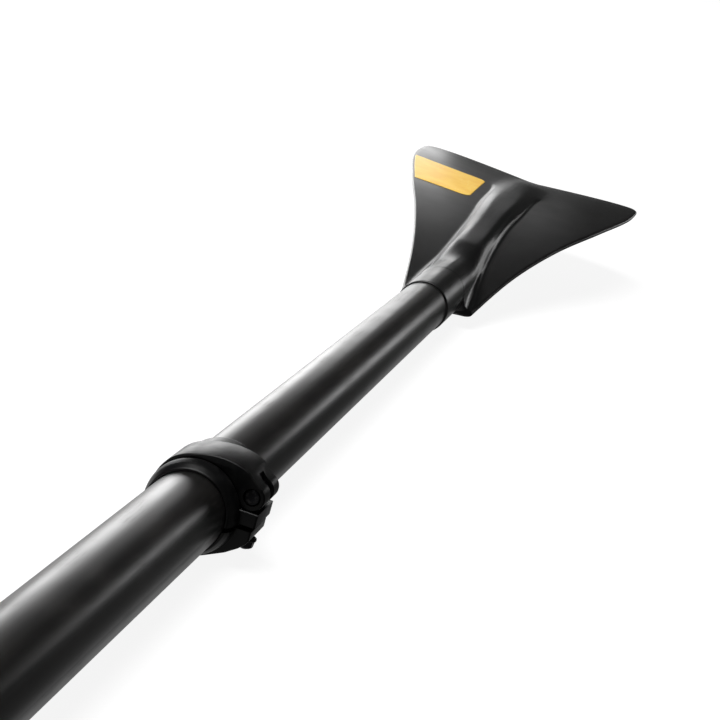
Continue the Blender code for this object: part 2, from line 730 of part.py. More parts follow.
def build_handle_section():
    """Handle tube with its slider, seal and float plug."""
    tube = build_tube("handle_shaft", HANDLE_TUBE_RADIUS, HANDLE_TUBE_WALL,
                      HANDLE_TUBE_BACK, HANDLE_TUBE_FRONT, ANODISED)
    hole_profile = rod_profile(SCREW_SHANK_RADIUS + GAP, -2 * GRIP_STEM_RADIUS, 0.0)
    hole = turned_object("handle_screw_hole", hole_profile, sides=16, closed=False)
    boolean(tube, place_cutter(hole, (GRIP_MOUTH - GRIP_SCREW_STATION, 0.0, 0.0)))
    flange = TUBE_BORE - GAP
    stem = HANDLE_BORE - GAP
    start = HANDLE_TUBE_FRONT + GAP
    end = start + SLIDER_FLANGE_LENGTH
    ring_station = (start + end) / 2
    half = RING_GROOVE_WIDTH / 2
    profile = [
        (0.0, end),
        (flange - PLUG_CHAMFER, end),
        (flange, end - PLUG_CHAMFER),
        (flange, ring_station + half),
        (flange - RING_GROOVE_DEPTH, ring_station + half),
        (flange - RING_GROOVE_DEPTH, ring_station - half),
        (flange, ring_station - half),
        (flange, start),
        (stem, start),
        (stem, start - SLIDER_STEM_LENGTH),
        (0.0, start - SLIDER_STEM_LENGTH),
    ]
    slider = turned_object("handle_slider", profile, closed=False)
    place(slider, (0.0, 0.0, 0.0), ALONG_X, GRIP_PLASTIC)
    build_ring("slider_ring", flange - RING_GROOVE_DEPTH, ring_station, RUBBER)
    plug_low = GRIP_MOUTH + PLUG_SETBACK
    build_plug("handle_float_plug", stem, plug_low, plug_low + FLOAT_PLUG_LENGTH, FOAM)


def block_outline():
    """Outside of a clamp's ears, web and foot, seen from the grip, as (Y, Z) points."""
    web = BOLT_OFFSET - WASHER_RADIUS - GAP
    points = [
        (EAR_REACH, UPPER_EAR_TOP),
        (COLLAR_BORE / 2, UPPER_EAR_TOP),
        (-FOOT_FAR_REACH, -COLLAR_BORE / 2),
        (-FOOT_FAR_REACH, -FOOT_DEPTH),
        (FOOT_NEAR_REACH, -FOOT_DEPTH),
        (WEB_BEND_REACH, -FOOT_DEPTH * 0.92),
        (web, -FOOT_DEPTH * 0.74),
        (BOLT_OFFSET, -LOWER_EAR_DEPTH * 1.24),
        (EAR_REACH * 0.925, -LOWER_EAR_DEPTH * 0.97),
        (EAR_REACH * 0.965, -LOWER_EAR_DEPTH * 0.75),
        (EAR_REACH * 0.965, SPLIT_LEVEL),
        (EAR_REACH, SPLIT_LEVEL),
    ]
    return [(-across, up) for across, up in points]


def sleeve_profile(bore, lip_side):
    """Ring profile of the collar's sleeve; its far end, on the lip side, is the blunt one."""
    half = CLAMP_LENGTH / 2
    rib = COLLAR_RADIUS + COLLAR_RIB_HEIGHT
    points = [
        (bore, half),
        (COLLAR_RADIUS - COLLAR_ROUND, half),
        (COLLAR_RADIUS - COLLAR_ROUND * 0.3, half - COLLAR_ROUND * 0.3),
        (COLLAR_RADIUS, half - COLLAR_ROUND),
        (COLLAR_RADIUS, -half + (BLOCK_SETBACK + COLLAR_RIB_SETBACK) / 2),
        (rib, -half + COLLAR_RIB_SETBACK),
        (rib, -half + COLLAR_RIB_SETBACK * 0.75),
        (COLLAR_RADIUS + COLLAR_RIB_HEIGHT * 0.4, -half + COLLAR_RIB_SETBACK * 0.35),
        (COLLAR_BORE + COLLAR_END_WALL * 1.6, -half + COLLAR_RIB_SETBACK * 0.1),
        (COLLAR_BORE + COLLAR_END_WALL, -half),
        (bore, -half),
    ]
    if lip_side > 0:
        return points
    return [(radius, -height) for radius, height in reversed(points)]


def build_collar(name, station, block_station, lip_side, lip_bore):
    """Split collar with two ears and a foot; its lip covers the end of the tube it grips."""
    collar = turned_object(name, sleeve_profile(COLLAR_BORE - COLLAR_WALL, lip_side))
    place(collar, (station, 0.0, 0.0), ALONG_X, GLOSS_NYLON)
    block = slab_object(name + "_block", block_outline(), BLOCK_LENGTH, BLOCK_ROUND)
    boolean(collar, place_cutter(block, (block_station, 0.0, 0.0), ALONG_X), "UNION")
    step = CLAMP_LENGTH / 2 - CLAMP_LIP
    reach = CLAMP_LENGTH
    profile = rod_profile(COLLAR_BORE, -reach, reach)
    if lip_bore < COLLAR_BORE:
        profile[2:3] = [(COLLAR_BORE, -step), (lip_bore, -step), (lip_bore, -reach)]
    bore = turned_object(name + "_bore", profile, sides=48, closed=False)
    boolean(collar, place_cutter(bore, (station, 0.0, 0.0), ALONG_X))
    split = box_object(name + "_split", (CLAMP_LENGTH * 2, EAR_REACH, SPLIT_GAP))
    boolean(collar, place_cutter(split, (station, -EAR_REACH * 0.95, SPLIT_LEVEL)))
    hole = turned_object(name + "_bolt_hole", [
        (0.0, EAR_REACH),
        (BOLT_RADIUS + GAP, EAR_REACH),
        (BOLT_RADIUS + GAP, -LOWER_EAR_DEPTH),
        (WASHER_RADIUS + 2 * GAP, -LOWER_EAR_DEPTH),
        (WASHER_RADIUS + 2 * GAP, -FOOT_DEPTH),
        (0.0, -FOOT_DEPTH),
    ], sides=24, closed=False)
    boolean(collar, place_cutter(hole, (block_station, -BOLT_OFFSET, 0.0)))
    return collar


def lever_outline():
    """Outside of a closed clamp lever round the shaft, as (Y, Z) points from its pivot."""
    inner = COLLAR_RADIUS + GAP
    outer = inner + LEVER_TAIL_THICKNESS
    points = []
    head_start, head_end = LEVER_HEAD_ANGLES
    for i in range(17):
        angle = math.radians(head_start + (head_end - head_start) * i / 16)
        across = BOLT_OFFSET + LEVER_HEAD_RADIUS * math.cos(angle)
        points.append((across, PIVOT_HEIGHT - CAM_THROW + LEVER_HEAD_RADIUS * math.sin(angle)))
    throat = math.degrees(math.atan2(points[0][1], points[0][0])) + LEVER_THROAT_ANGLE
    for i in range(19):
        angle = LEVER_BACK_ANGLE + (LEVER_TIP_ANGLE - LEVER_TIP_TAPER - LEVER_BACK_ANGLE) * i / 18
        swell = max((LEVER_SWELL_END - angle) / LEVER_SWELL_SPAN, 0.0) ** LEVER_SWELL_POWER
        thinning = LEVER_TAIL_THINNING * smooth_step(angle, *LEVER_THINNING_ANGLES)
        radius = outer + LEVER_HEAD_RISE * swell - thinning
        points.append((radius * math.cos(math.radians(angle)), radius * math.sin(math.radians(angle))))
    middle = (inner + outer - LEVER_TAIL_THINNING) / 2
    tip = math.radians(LEVER_TIP_ANGLE)
    points.append((middle * math.cos(tip), middle * math.sin(tip)))
    inner_tip = LEVER_TIP_ANGLE - LEVER_TIP_TAPER / 2
    for i in range(16):
        angle = math.radians(inner_tip + (throat - inner_tip) * i / 15)
        points.append((inner * math.cos(angle), inner * math.sin(angle)))
    return [(-(across - BOLT_OFFSET), up - PIVOT_HEIGHT) for across, up in points]


def build_lever(name, station):
    """Over-centre lever that wraps over the shaft; its origin lies on its pivot."""
    pivot = (station, -BOLT_OFFSET, PIVOT_HEIGHT)
    body = slab_object(name, lever_outline(), LEVER_WIDTH, LEVER_ROUND)
    lever = place(body, pivot, ALONG_X, GLOSS_NYLON)
    bore_profile = rod_profile(BARREL_RADIUS + GAP, -LEVER_WIDTH, LEVER_WIDTH)
    bore = turned_object(name + "_pivot_bore", bore_profile, sides=24, closed=False)
    boolean(lever, place_cutter(bore, pivot, ALONG_X))
    sector = [(0.0, 0.0)]
    reach = LEVER_HEAD_RADIUS * 1.7
    margin = math.degrees(math.asin((BOLT_RADIUS + GAP) / (BARREL_RADIUS + GAP)))
    for i in range(13):
        sweep = (LEVER_OPEN_ANGLE + 2 * margin) * i / 12
        angle = math.radians(-90.0 - margin + sweep)
        sector.append((-reach * math.cos(angle), reach * math.sin(angle)))
    slot = slab_object(name + "_bolt_slot", sector, (BOLT_RADIUS + 2 * GAP) * 2)
    boolean(lever, place_cutter(slot, pivot, ALONG_X))
    return lever


def build_clamp(prefix, station, lip_side, lip_bore):
    """Lever clamp: collar, lever, barrel, bolt, washer and nut."""
    block_station = station + lip_side * (BLOCK_SETBACK + BLOCK_LENGTH / 2 - CLAMP_LENGTH / 2)
    build_collar(prefix + "_collar", station, block_station, lip_side, lip_bore)
    build_lever(prefix + "_lever", block_station)
    pivot = (block_station, -BOLT_OFFSET, PIVOT_HEIGHT)
    barrel_half = LEVER_WIDTH / 2 - GAP
    barrel_profile = rod_profile(BARREL_RADIUS, -barrel_half, barrel_half, HARDWARE_CHAMFER)
    barrel = turned_object(prefix + "_barrel", barrel_profile, sides=24, closed=False)
    place(barrel, pivot, ALONG_X, STEEL)
    washer_top = -LOWER_EAR_DEPTH - GAP
    washer_low = washer_top - WASHER_THICKNESS
    nut_top = washer_low - GAP
    nut_low = nut_top - NUT_HEIGHT
    bolt_top = PIVOT_HEIGHT + BARREL_RADIUS / 2
    bolt_tail = nut_low - BOLT_RADIUS / 3
    bolt_place = (block_station, -BOLT_OFFSET, 0.0)
    hole_profile = rod_profile(BOLT_RADIUS + GAP, 0.0, bolt_top + GAP)
    thread_hole = turned_object(prefix + "_thread_hole", hole_profile, sides=20, closed=False)
    boolean(barrel, place_cutter(thread_hole, bolt_place))
    bolt_profile = rod_profile(BOLT_RADIUS, bolt_tail, bolt_top, HARDWARE_CHAMFER)
    bolt = turned_object(prefix + "_bolt", bolt_profile, sides=20, closed=False)
    place(bolt, bolt_place, material=STEEL)
    washer_profile = tube_profile(WASHER_RADIUS, BOLT_RADIUS + GAP, washer_low, washer_top)
    place(turned_object(prefix + "_washer", washer_profile, sides=24), bolt_place, material=STEEL)
    dome = NUT_HEIGHT / 2
    nut_profile = [
        (BOLT_RADIUS + GAP, nut_top),
        (NUT_RADIUS - GAP, nut_top),
        (NUT_RADIUS, nut_top - GAP),
        (NUT_RADIUS, nut_low + dome),
        (NUT_RADIUS - dome * 0.25, nut_low + dome * 0.40),
        (NUT_RADIUS - dome * 0.75, nut_low),
        (BOLT_RADIUS + GAP, nut_low),
    ]
    place(turned_object(prefix + "_nut", nut_profile, sides=24), bolt_place, material=STEEL)


def build_grip():
    """T-shaped palm grip with its screw."""
    bar_station = GRIP_END + GRIP_BAR_DEPTH
    profile = []
    steps = 16
    for i in range(steps + 1):
        angle = math.pi / 2 - math.pi * i / steps
        height = GRIP_HALF_WIDTH * math.sin(angle)
        share = abs(math.sin(angle))
        waist = 1.0 - GRIP_BAR_WAIST * share ** 2
        radius = GRIP_BAR_HEIGHT * waist * math.sqrt(max(1 - share ** GRIP_BAR_END_POWER, 0.0))
        profile.append((0.0 if i in (0, steps) else radius, height))
    bar = turned_object("t_grip_bar", profile, sides=28, closed=False)
    bar.scale = (GRIP_BAR_DEPTH / GRIP_BAR_HEIGHT, 1.0, 1.0)
    place_cutter(bar, (bar_station, 0.0, 0.0), ALONG_Y)
    neck = GRIP_STEM_RADIUS * 0.86
    stem_profile = [
        (0.0, GRIP_MOUTH),
        (GRIP_STEM_RADIUS - GRIP_CHAMFER, GRIP_MOUTH),
        (GRIP_STEM_RADIUS, GRIP_MOUTH - GRIP_CHAMFER),
        (GRIP_STEM_RADIUS, GRIP_MOUTH - GRIP_SCREW_STATION * 1.4),
        (neck + 0.0009, GRIP_MOUTH - GRIP_SCREW_STATION * 2.1),
        (GRIP_BAR_HEIGHT - 0.0006, bar_station + 0.0040),
        (GRIP_BAR_HEIGHT - 0.0020, bar_station),
        (0.0, bar_station),
    ]
    grip = turned_object("t_grip", stem_profile, sides=32, closed=False)
    place(grip, (0.0, 0.0, 0.0), ALONG_X, GRIP_PLASTIC)
    boolean(grip, bar, "UNION")
    socket_end = GRIP_MOUTH - GRIP_SOCKET_DEPTH
    socket_profile = rod_profile(HANDLE_TUBE_RADIUS + GAP, socket_end, GRIP_MOUTH + GRIP_CHAMFER)
    socket = turned_object("grip_socket", socket_profile, closed=False)
    boolean(grip, place_cutter(socket, (0.0, 0.0, 0.0), ALONG_X))
    screw_station = GRIP_MOUTH - GRIP_SCREW_STATION
    head_top = -GRIP_STEM_RADIUS + SCREW_HEAD_HEIGHT + GAP
    counterbore = turned_object("grip_screw_hole", [
        (0.0, 0.0),
        (SCREW_SHANK_RADIUS + GAP, 0.0),
        (SCREW_SHANK_RADIUS + GAP, head_top + GAP),
        (SCREW_HEAD_RADIUS + GAP, head_top + GAP),
        (SCREW_HEAD_RADIUS + GAP, -GRIP_STEM_RADIUS * 1.3),
        (0.0, -GRIP_STEM_RADIUS * 1.3),
    ], sides=20, closed=False)
    boolean(grip, place_cutter(counterbore, (screw_station, 0.0, 0.0)))
    tip = head_top + SCREW_LENGTH - SCREW_HEAD_HEIGHT
    screw = turned_object("grip_screw", [
        (0.0, tip),
        (SCREW_SHANK_RADIUS * 0.5, tip),
        (SCREW_SHANK_RADIUS, tip - SCREW_SHANK_RADIUS * 0.7),
        (SCREW_SHANK_RADIUS, head_top),
        (SCREW_HEAD_RADIUS, head_top),
        (SCREW_HEAD_RADIUS, head_top - SCREW_HEAD_HEIGHT * 0.7),
        (SCREW_HEAD_RADIUS * 0.6, head_top - SCREW_HEAD_HEIGHT),
        (0.0, head_top - SCREW_HEAD_HEIGHT),
    ], sides=20, closed=False)
    place(screw, (screw_station, 0.0, 0.0), material=STEEL)


build_blade()
build_label()
build_lower_section()
build_tube("mid_shaft", TUBE_RADIUS, TUBE_WALL, MID_TUBE_BACK, MID_TUBE_FRONT, ANODISED,
           slots=(MID_TUBE_BACK, MID_TUBE_FRONT))
build_clamp("lower_clamp", LOWER_CLAMP_STATION, 1.0, COLLAR_BORE)
build_clamp("upper_clamp", UPPER_CLAMP_STATION, -1.0, HANDLE_TUBE_RADIUS + GAP)
build_handle_section()
build_grip()
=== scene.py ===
"""Looks of an adjustable stand-up paddle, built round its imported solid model.

The paddle lies along X with its blade towards +X and the ribbed face of the blade up. Shapes are
built in shaft coordinates: a station is the distance along the shaft from the mouth of the
blade's neck, positive into the blade and negative towards the grip, and the shaft's axis is at
zero across and zero up.
"""

import logging
import math
from collections.abc import Callable, Mapping, Sequence
from dataclasses import dataclass, field
from enum import Enum

import bmesh
import bpy
from mathutils import Matrix, Quaternion, Vector


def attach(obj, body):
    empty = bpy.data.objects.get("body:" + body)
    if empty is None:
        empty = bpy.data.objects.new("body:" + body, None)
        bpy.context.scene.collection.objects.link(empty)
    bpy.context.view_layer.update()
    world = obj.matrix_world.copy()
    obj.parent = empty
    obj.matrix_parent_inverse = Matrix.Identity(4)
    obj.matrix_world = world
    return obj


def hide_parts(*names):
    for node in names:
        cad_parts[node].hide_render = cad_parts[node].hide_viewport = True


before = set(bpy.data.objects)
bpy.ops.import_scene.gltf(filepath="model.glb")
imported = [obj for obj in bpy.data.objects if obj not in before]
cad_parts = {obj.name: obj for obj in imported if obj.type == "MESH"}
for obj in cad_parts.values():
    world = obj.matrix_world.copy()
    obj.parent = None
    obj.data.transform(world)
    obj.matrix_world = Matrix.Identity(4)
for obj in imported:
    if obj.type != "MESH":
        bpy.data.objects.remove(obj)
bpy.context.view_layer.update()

LOG = logging.getLogger("paddle")

# Where the shaft coordinates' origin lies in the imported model
DATUM = Vector((0.3993, 0.0, 0.0185))
WHITE = (1.0, 1.0, 1.0, 1.0)
CUT = "DIFFERENCE"
JOIN = "UNION"

Pair = tuple[float, float]
Triple = tuple[float, float, float]


class Body(Enum):
    """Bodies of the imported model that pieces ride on."""

    MID = "mid_section"
    LOWER = "lower_section"
    LOWER_LEVER = "lower_lever"
    UPPER_LEVER = "upper_lever"
    RING = "sliding_ring"
    HANDLE = "handle"


class Slot(Enum):
    """Material slots of the record."""

    BLADE = "blade"
    LABEL = "label"
    TUBE = "tube"
    FERRULE = "ferrule"
    CLAMP = "clamp"
    HARDWARE = "hardware"
    GRIP = "grip"
    FOAM = "foam"
    SEAL = "seal"


class Axis(Enum):
    """Direction that a turned piece is turned about."""

    SHAFT = "along the shaft"
    ACROSS = "across the blade"
    UP = "up"


class Pattern(Enum):
    """Kind of noise in a finish; a cell's value is its Voronoi feature."""

    CLOUD = "cloud"
    CELL = "F1"
    PEBBLE = "SMOOTH_F1"


class Signal:
    """Output socket that can stand in a Python sum; each operator adds its own Math node."""

    def __init__(self, graph: "Graph", socket: bpy.types.NodeSocket) -> None:
        """Keep the graph that new nodes go to and the socket itself."""
        self.graph = graph
        self.socket = socket

    def output(self, key: int | str) -> "Signal":
        """Another output of the same node."""
        return Signal(self.graph, self.socket.node.outputs[key])

    def _sum(self, operation: str, *values: "Signal | float") -> "Signal":
        """Add one Math node that joins the values."""
        return self.graph.node("Math", dict(enumerate(values)), operation=operation)

    def __add__(self, other: "Signal | float") -> "Signal":
        """Sum."""
        return self._sum("ADD", self, other)

    __radd__ = __add__

    def __sub__(self, other: "Signal | float") -> "Signal":
        """Difference."""
        return self._sum("SUBTRACT", self, other)

    def __rsub__(self, other: "Signal | float") -> "Signal":
        """Difference, with the socket taken away."""
        return self._sum("SUBTRACT", other, self)

    def __mul__(self, other: "Signal | float") -> "Signal":
        """Product."""
        return self._sum("MULTIPLY", self, other)

    __rmul__ = __mul__

    def larger(self, other: "Signal | float") -> "Signal":
        """The larger of two values."""
        return self._sum("MAXIMUM", self, other)

    def distance(self) -> "Signal":
        """The value without its sign."""
        return self._sum("ABSOLUTE", self)

    def eased(self, low: float, high: float, start: float = 0.0, end: float = 1.0) -> "Signal":
        """Ease smoothly from one value to another.

        Args:
            low: input value at which the result is start.
            high: input value at which the result is end.
            start: result at and below low.
            end: result at and above high.

        Returns:
            The eased value.
        """
        sockets = {"Value": self, "From Min": low, "From Max": high, "To Min": start, "To Max": end}
        return self.graph.node("MapRange", sockets, interpolation_type="SMOOTHSTEP")


Value = Signal | float | tuple[float, ...]


class Graph:
    """Node tree of one material or of the world, with short ways to add to it."""

    def __init__(self, tree: bpy.types.NodeTree) -> None:
        """Take over a node tree and empty it."""
        self.tree = tree
        tree.nodes.clear()

    def node(self, kind: str, sockets: Mapping[int | str, Value] | None = None, **settings: object) -> Signal:
        """Add one shader node.

        Args:
            kind: the node's type name, without its prefix.
            sockets: a value or a link for each input, by name or number.
            settings: attributes of the node, which are set first.

        Returns:
            The node's first output, or its first input where it has no output.
        """
        made = self.tree.nodes.new("ShaderNode" + kind)
        for key, value in settings.items():
            setattr(made, key, value)
        for key, value in (sockets or {}).items():
            if isinstance(value, Signal):
                self.tree.links.new(value.socket, made.inputs[key])
            else:
                made.inputs[key].default_value = value
        return Signal(self, made.outputs[0] if made.outputs else made.inputs[0])

    def blend(self, share: Value, first: Value, second: Value) -> Signal:
        """Blend two colours.

        Args:
            share: 0 gives the first colour, 1 the second.
            first: colour as three numbers or a link.
            second: colour as three numbers or a link.

        Returns:
            The blended colour.
        """
        pair = [(*c, 1.0) if isinstance(c, tuple) else c for c in (first, second)]
        return self.node("Mix", {0: share, 6: pair[0], 7: pair[1]}, data_type="RGBA").output(2)

    def place(self) -> Signal:
        """Point on the piece, in the frame that its body carries."""
        return self.node("TexCoord").output("Object")

    def grain(self, across: float, along: float = 0.0, detail: float = 3.0, turn: float = 0.0) -> Signal:
        """Noise with its own fineness along the shaft.

        Args:
            across: cycles in a metre across the shaft.
            along: cycles in a metre along it; 0 stands for the same as across.
            detail: octaves of finer noise.
            turn: turn of the noise about the up axis, in radians.

        Returns:
            Noise from 0 to 1.
        """
        scale = (along or across, across, across)
        spot = self.node("Mapping", {"Vector": self.place(), "Rotation": (0.0, 0.0, turn), "Scale": scale})
        return self.node("TexNoise", {"Vector": spot, "Scale": 1.0, "Detail": detail})

    def relief(self, height: Value, depth: float, strength: float, under: Value | None) -> Signal:
        """Turn a height into a bumped normal.

        Args:
            height: height from 0 to 1.
            depth: height of a full step in metres.
            strength: share of the relief that shows.
            under: normal that the relief lies on, if any.

        Returns:
            The bumped normal.
        """
        sockets = {"Height": height, "Distance": depth, "Strength": strength}
        return self.node("Bump", sockets if under is None else {**sockets, "Normal": under})

    def scratches(self, scale: float, turn: float, thinness: float) -> Signal:
        """Sparse fine scratches across one direction.

        Args:
            scale: scratches in a metre.
            turn: direction of the scratches about the up axis, in radians.
            thinness: how thin and sparse they are; higher is thinner.

        Returns:
            A mask that is 1 on a scratch.
        """
        lines = self.grain(scale, scale * 0.04, 2.0, turn)
        patches = self.grain(scale * 0.06, detail=1.0).eased(0.50, 0.62)
        return ((lines - 0.5).distance() * thinness).eased(0.0, 1.0, 1.0, 0.0) * patches


@dataclass(frozen=True)
class Layer:
    """Noise in a finish, and what it adds to the tone, the roughness and the relief."""

    across: float
    along: float = 0.0
    detail: float = 2.0
    turn: float = 0.0
    pattern: Pattern = Pattern.CLOUD
    tone: float = 0.0
    rough: float = 0.0
    rough_range: Pair | None = None
    depth: float = 0.0
    strength: float = 1.0

    def noise(self, graph: Graph) -> Signal:
        """Add the layer's noise to a graph.

        Args:
            graph: the material's graph.

        Returns:
            Noise from 0 to 1.
        """
        if self.pattern is Pattern.CLOUD:
            return graph.grain(self.across, self.along, self.detail, self.turn)
        sockets: dict[int | str, Value] = {"Vector": graph.place(), "Scale": self.across}
        if self.pattern is Pattern.PEBBLE:
            sockets["Smoothness"] = 0.6
        return graph.node("TexVoronoi", sockets, feature=self.pattern.value)


@dataclass(frozen=True)
class Marks:
    """Fine scratches in a finish: their pattern, and how much they colour and roughen it."""

    scale: float
    turn: float
    thinness: float
    share: float
    colour: Triple
    rough: float


@dataclass(frozen=True)
class Finish:
    """Material for one slot: two tones that noise blends, with roughness, relief and scratches."""

    name: str
    slot: Slot
    deep: Triple
    light: Triple
    tone_range: Pair
    roughness: float
    layers: tuple[Layer, ...]
    marks: Marks | None = None
    metallic: float = 0.0
    ior: float = 1.5

    def material(self) -> bpy.types.Material:
        """Give the material, and build it on first use.

        Returns:
            The material.
        """
        found = bpy.data.materials.get(self.name)
        if found is None:
            found = bpy.data.materials.new(self.name)
            found.use_nodes = True
            self.paint(Graph(found.node_tree))
        return found

    def paint(self, graph: Graph) -> None:
        """Fill the material's graph.

        Args:
            graph: the material's graph.
        """
        tone, rough, normal = 0.0, self.roughness, None
        for layer in self.layers:
            noise = layer.noise(graph)
            if layer.tone:
                tone += noise * layer.tone
            if layer.rough:
                rough += layer.rough * (noise.eased(*layer.rough_range) if layer.rough_range else noise)
            if layer.depth:
                normal = graph.relief(noise, layer.depth, layer.strength, normal)
        colour = graph.blend(tone.eased(*self.tone_range), self.deep, self.light)
        if self.marks:
            mask = graph.scratches(self.marks.scale, self.marks.turn, self.marks.thinness)
            colour = graph.blend(mask * self.marks.share, colour, self.marks.colour)
            rough += mask * self.marks.rough
        sockets = {"Base Color": colour, "Roughness": rough, "Metallic": self.metallic, "IOR": self.ior}
        graph.node("OutputMaterial", {"Surface": graph.node("BsdfPrincipled", {**sockets, "Normal": normal})})


# Satin black anodising with fine lengthwise drawing grain and light rub marks
TUBE_FINISH = Finish(
    "satin_black_anodised_tube", Slot.TUBE, (0.0036, 0.0034, 0.0034), (0.0100, 0.0090, 0.0084), (0.35, 0.68), 0.29,
    (
        Layer(1500.0, 14.0, 4.0, tone=0.5, rough=0.025, depth=0.0000042),
        Layer(55.0, detail=3.0, tone=0.5, rough=0.025, rough_range=(0.3, 0.7)),
        Layer(2600.0, depth=0.0000018),
    ),
    Marks(900.0, 0.35, 26.0, 0.35, (0.035, 0.033, 0.031), 0.06), ior=1.62,
)
# Satin black filled nylon with flow marks, haze and a fine mould texture
BLADE_FINISH = Finish(
    "satin_black_moulded_nylon", Slot.BLADE, (0.0018, 0.0018, 0.0019), (0.0042, 0.0041, 0.0041), (0.35, 0.70), 0.29,
    (
        Layer(46.0, 16.0, 4.0, 0.12, tone=1.0, depth=0.00022, strength=0.35),
        Layer(22.0, detail=3.0, rough=0.07, rough_range=(0.3, 0.7)),
        Layer(2400.0, depth=0.00001),
    ),
    Marks(520.0, 0.9, 34.0, 0.25, (0.012, 0.012, 0.012), 0.0), ior=1.53,
)
# Gloss black nylon with faint sink waves, smears and handling scratches
CLAMP_FINISH = Finish(
    "gloss_black_nylon", Slot.CLAMP, (0.0020, 0.0020, 0.0021), (0.0044, 0.0044, 0.0044), (0.4, 0.7), 0.34,
    (
        Layer(75.0, depth=0.00012, strength=0.5),
        Layer(210.0, detail=4.0, tone=1.0, rough=0.06, rough_range=(0.35, 0.75)),
        Layer(2200.0, depth=0.000002),
    ),
    Marks(900.0, 1.1, 30.0, 0.35, (0.016, 0.016, 0.016), 0.04), ior=1.27,
)
# Bare yellow-orange film with a faint uneven print and tiny scuffs
LABEL_FINISH = Finish(
    "yellow_label_film", Slot.LABEL, (0.88, 0.50, 0.040), (0.93, 0.59, 0.085), (0.35, 0.65), 0.31,
    (Layer(60.0, detail=3.0, tone=1.0, rough=0.10), Layer(1800.0, depth=0.000006)),
    Marks(700.0, 0.5, 34.0, 0.35, (0.95, 0.80, 0.50), 0.1), ior=1.46,
)
# Plain stainless steel with turning marks and slight tarnish
STEEL_FINISH = Finish(
    "plain_stainless_steel", Slot.HARDWARE, (0.60, 0.60, 0.61), (0.44, 0.43, 0.42), (0.40, 0.72), 0.24,
    (Layer(330.0, detail=4.0, tone=1.0, rough=0.14), Layer(260.0, 5200.0, rough=0.08, depth=0.000004)),
    metallic=1.0,
)
# Clamp hardware steel darkened to near black as painted shade where the clamp's near face lies in shade, rubbed a
# little brighter in places
SHADE_DARKENED_CLAMP_STEEL_FINISH = Finish(
    "clamp_steel_darkened_as_painted_shade", Slot.HARDWARE, (0.020, 0.020, 0.022), (0.085, 0.082, 0.080), (0.50, 0.78), 0.26,
    (Layer(620.0, detail=4.0, tone=1.0, rough=0.16), Layer(3600.0, depth=0.000006)), metallic=1.0,
)
# Bare drawn aluminium with lengthwise die lines and rub marks
FERRULE_FINISH = Finish(
    "bare_drawn_aluminium", Slot.FERRULE, (0.66, 0.67, 0.69), (0.47, 0.48, 0.50), (0.36, 0.66), 0.28,
    (Layer(2100.0, 9.0, 4.0, tone=0.5, rough=0.16, depth=0.000006), Layer(90.0, detail=3.0, tone=0.5)),
    Marks(1100.0, 0.2, 24.0, 0.0, (0.66, 0.67, 0.69), 0.10), metallic=1.0,
)
# Soft-touch matt black plastic with a pebbled skin and polished high spots
GRIP_FINISH = Finish(
    "soft_touch_black_grip", Slot.GRIP, (0.0125, 0.0125, 0.0130), (0.0240, 0.0238, 0.0235), (0.42, 0.70), 0.66,
    (
        Layer(1250.0, pattern=Pattern.PEBBLE, depth=0.00004, strength=0.8),
        Layer(38.0, detail=4.0, tone=1.0, rough=-0.14),
    ),
)
# Grey closed-cell foam with visible cells
FOAM_FINISH = Finish(
    "grey_closed_cell_foam", Slot.FOAM, (0.17, 0.175, 0.18), (0.26, 0.27, 0.28), (0.25, 0.9), 0.82,
    (
        Layer(1400.0, pattern=Pattern.CELL, tone=0.8, depth=0.00015, strength=0.7),
        Layer(120.0, detail=3.0, tone=0.4, rough=0.12),
    ),
)
# Black rubber with a dusty bloom
SEAL_FINISH = Finish(
    "black_seal_rubber", Slot.SEAL, (0.011, 0.011, 0.011), (0.030, 0.030, 0.030), (0.45, 0.75), 0.58,
    (Layer(420.0, detail=4.0, tone=1.0, rough=0.16), Layer(2600.0, depth=0.00001)),
)


def shares(count: int) -> list[float]:
    """Even shares from 0 to 1, one more than the count."""
    return [index / count for index in range(count + 1)]


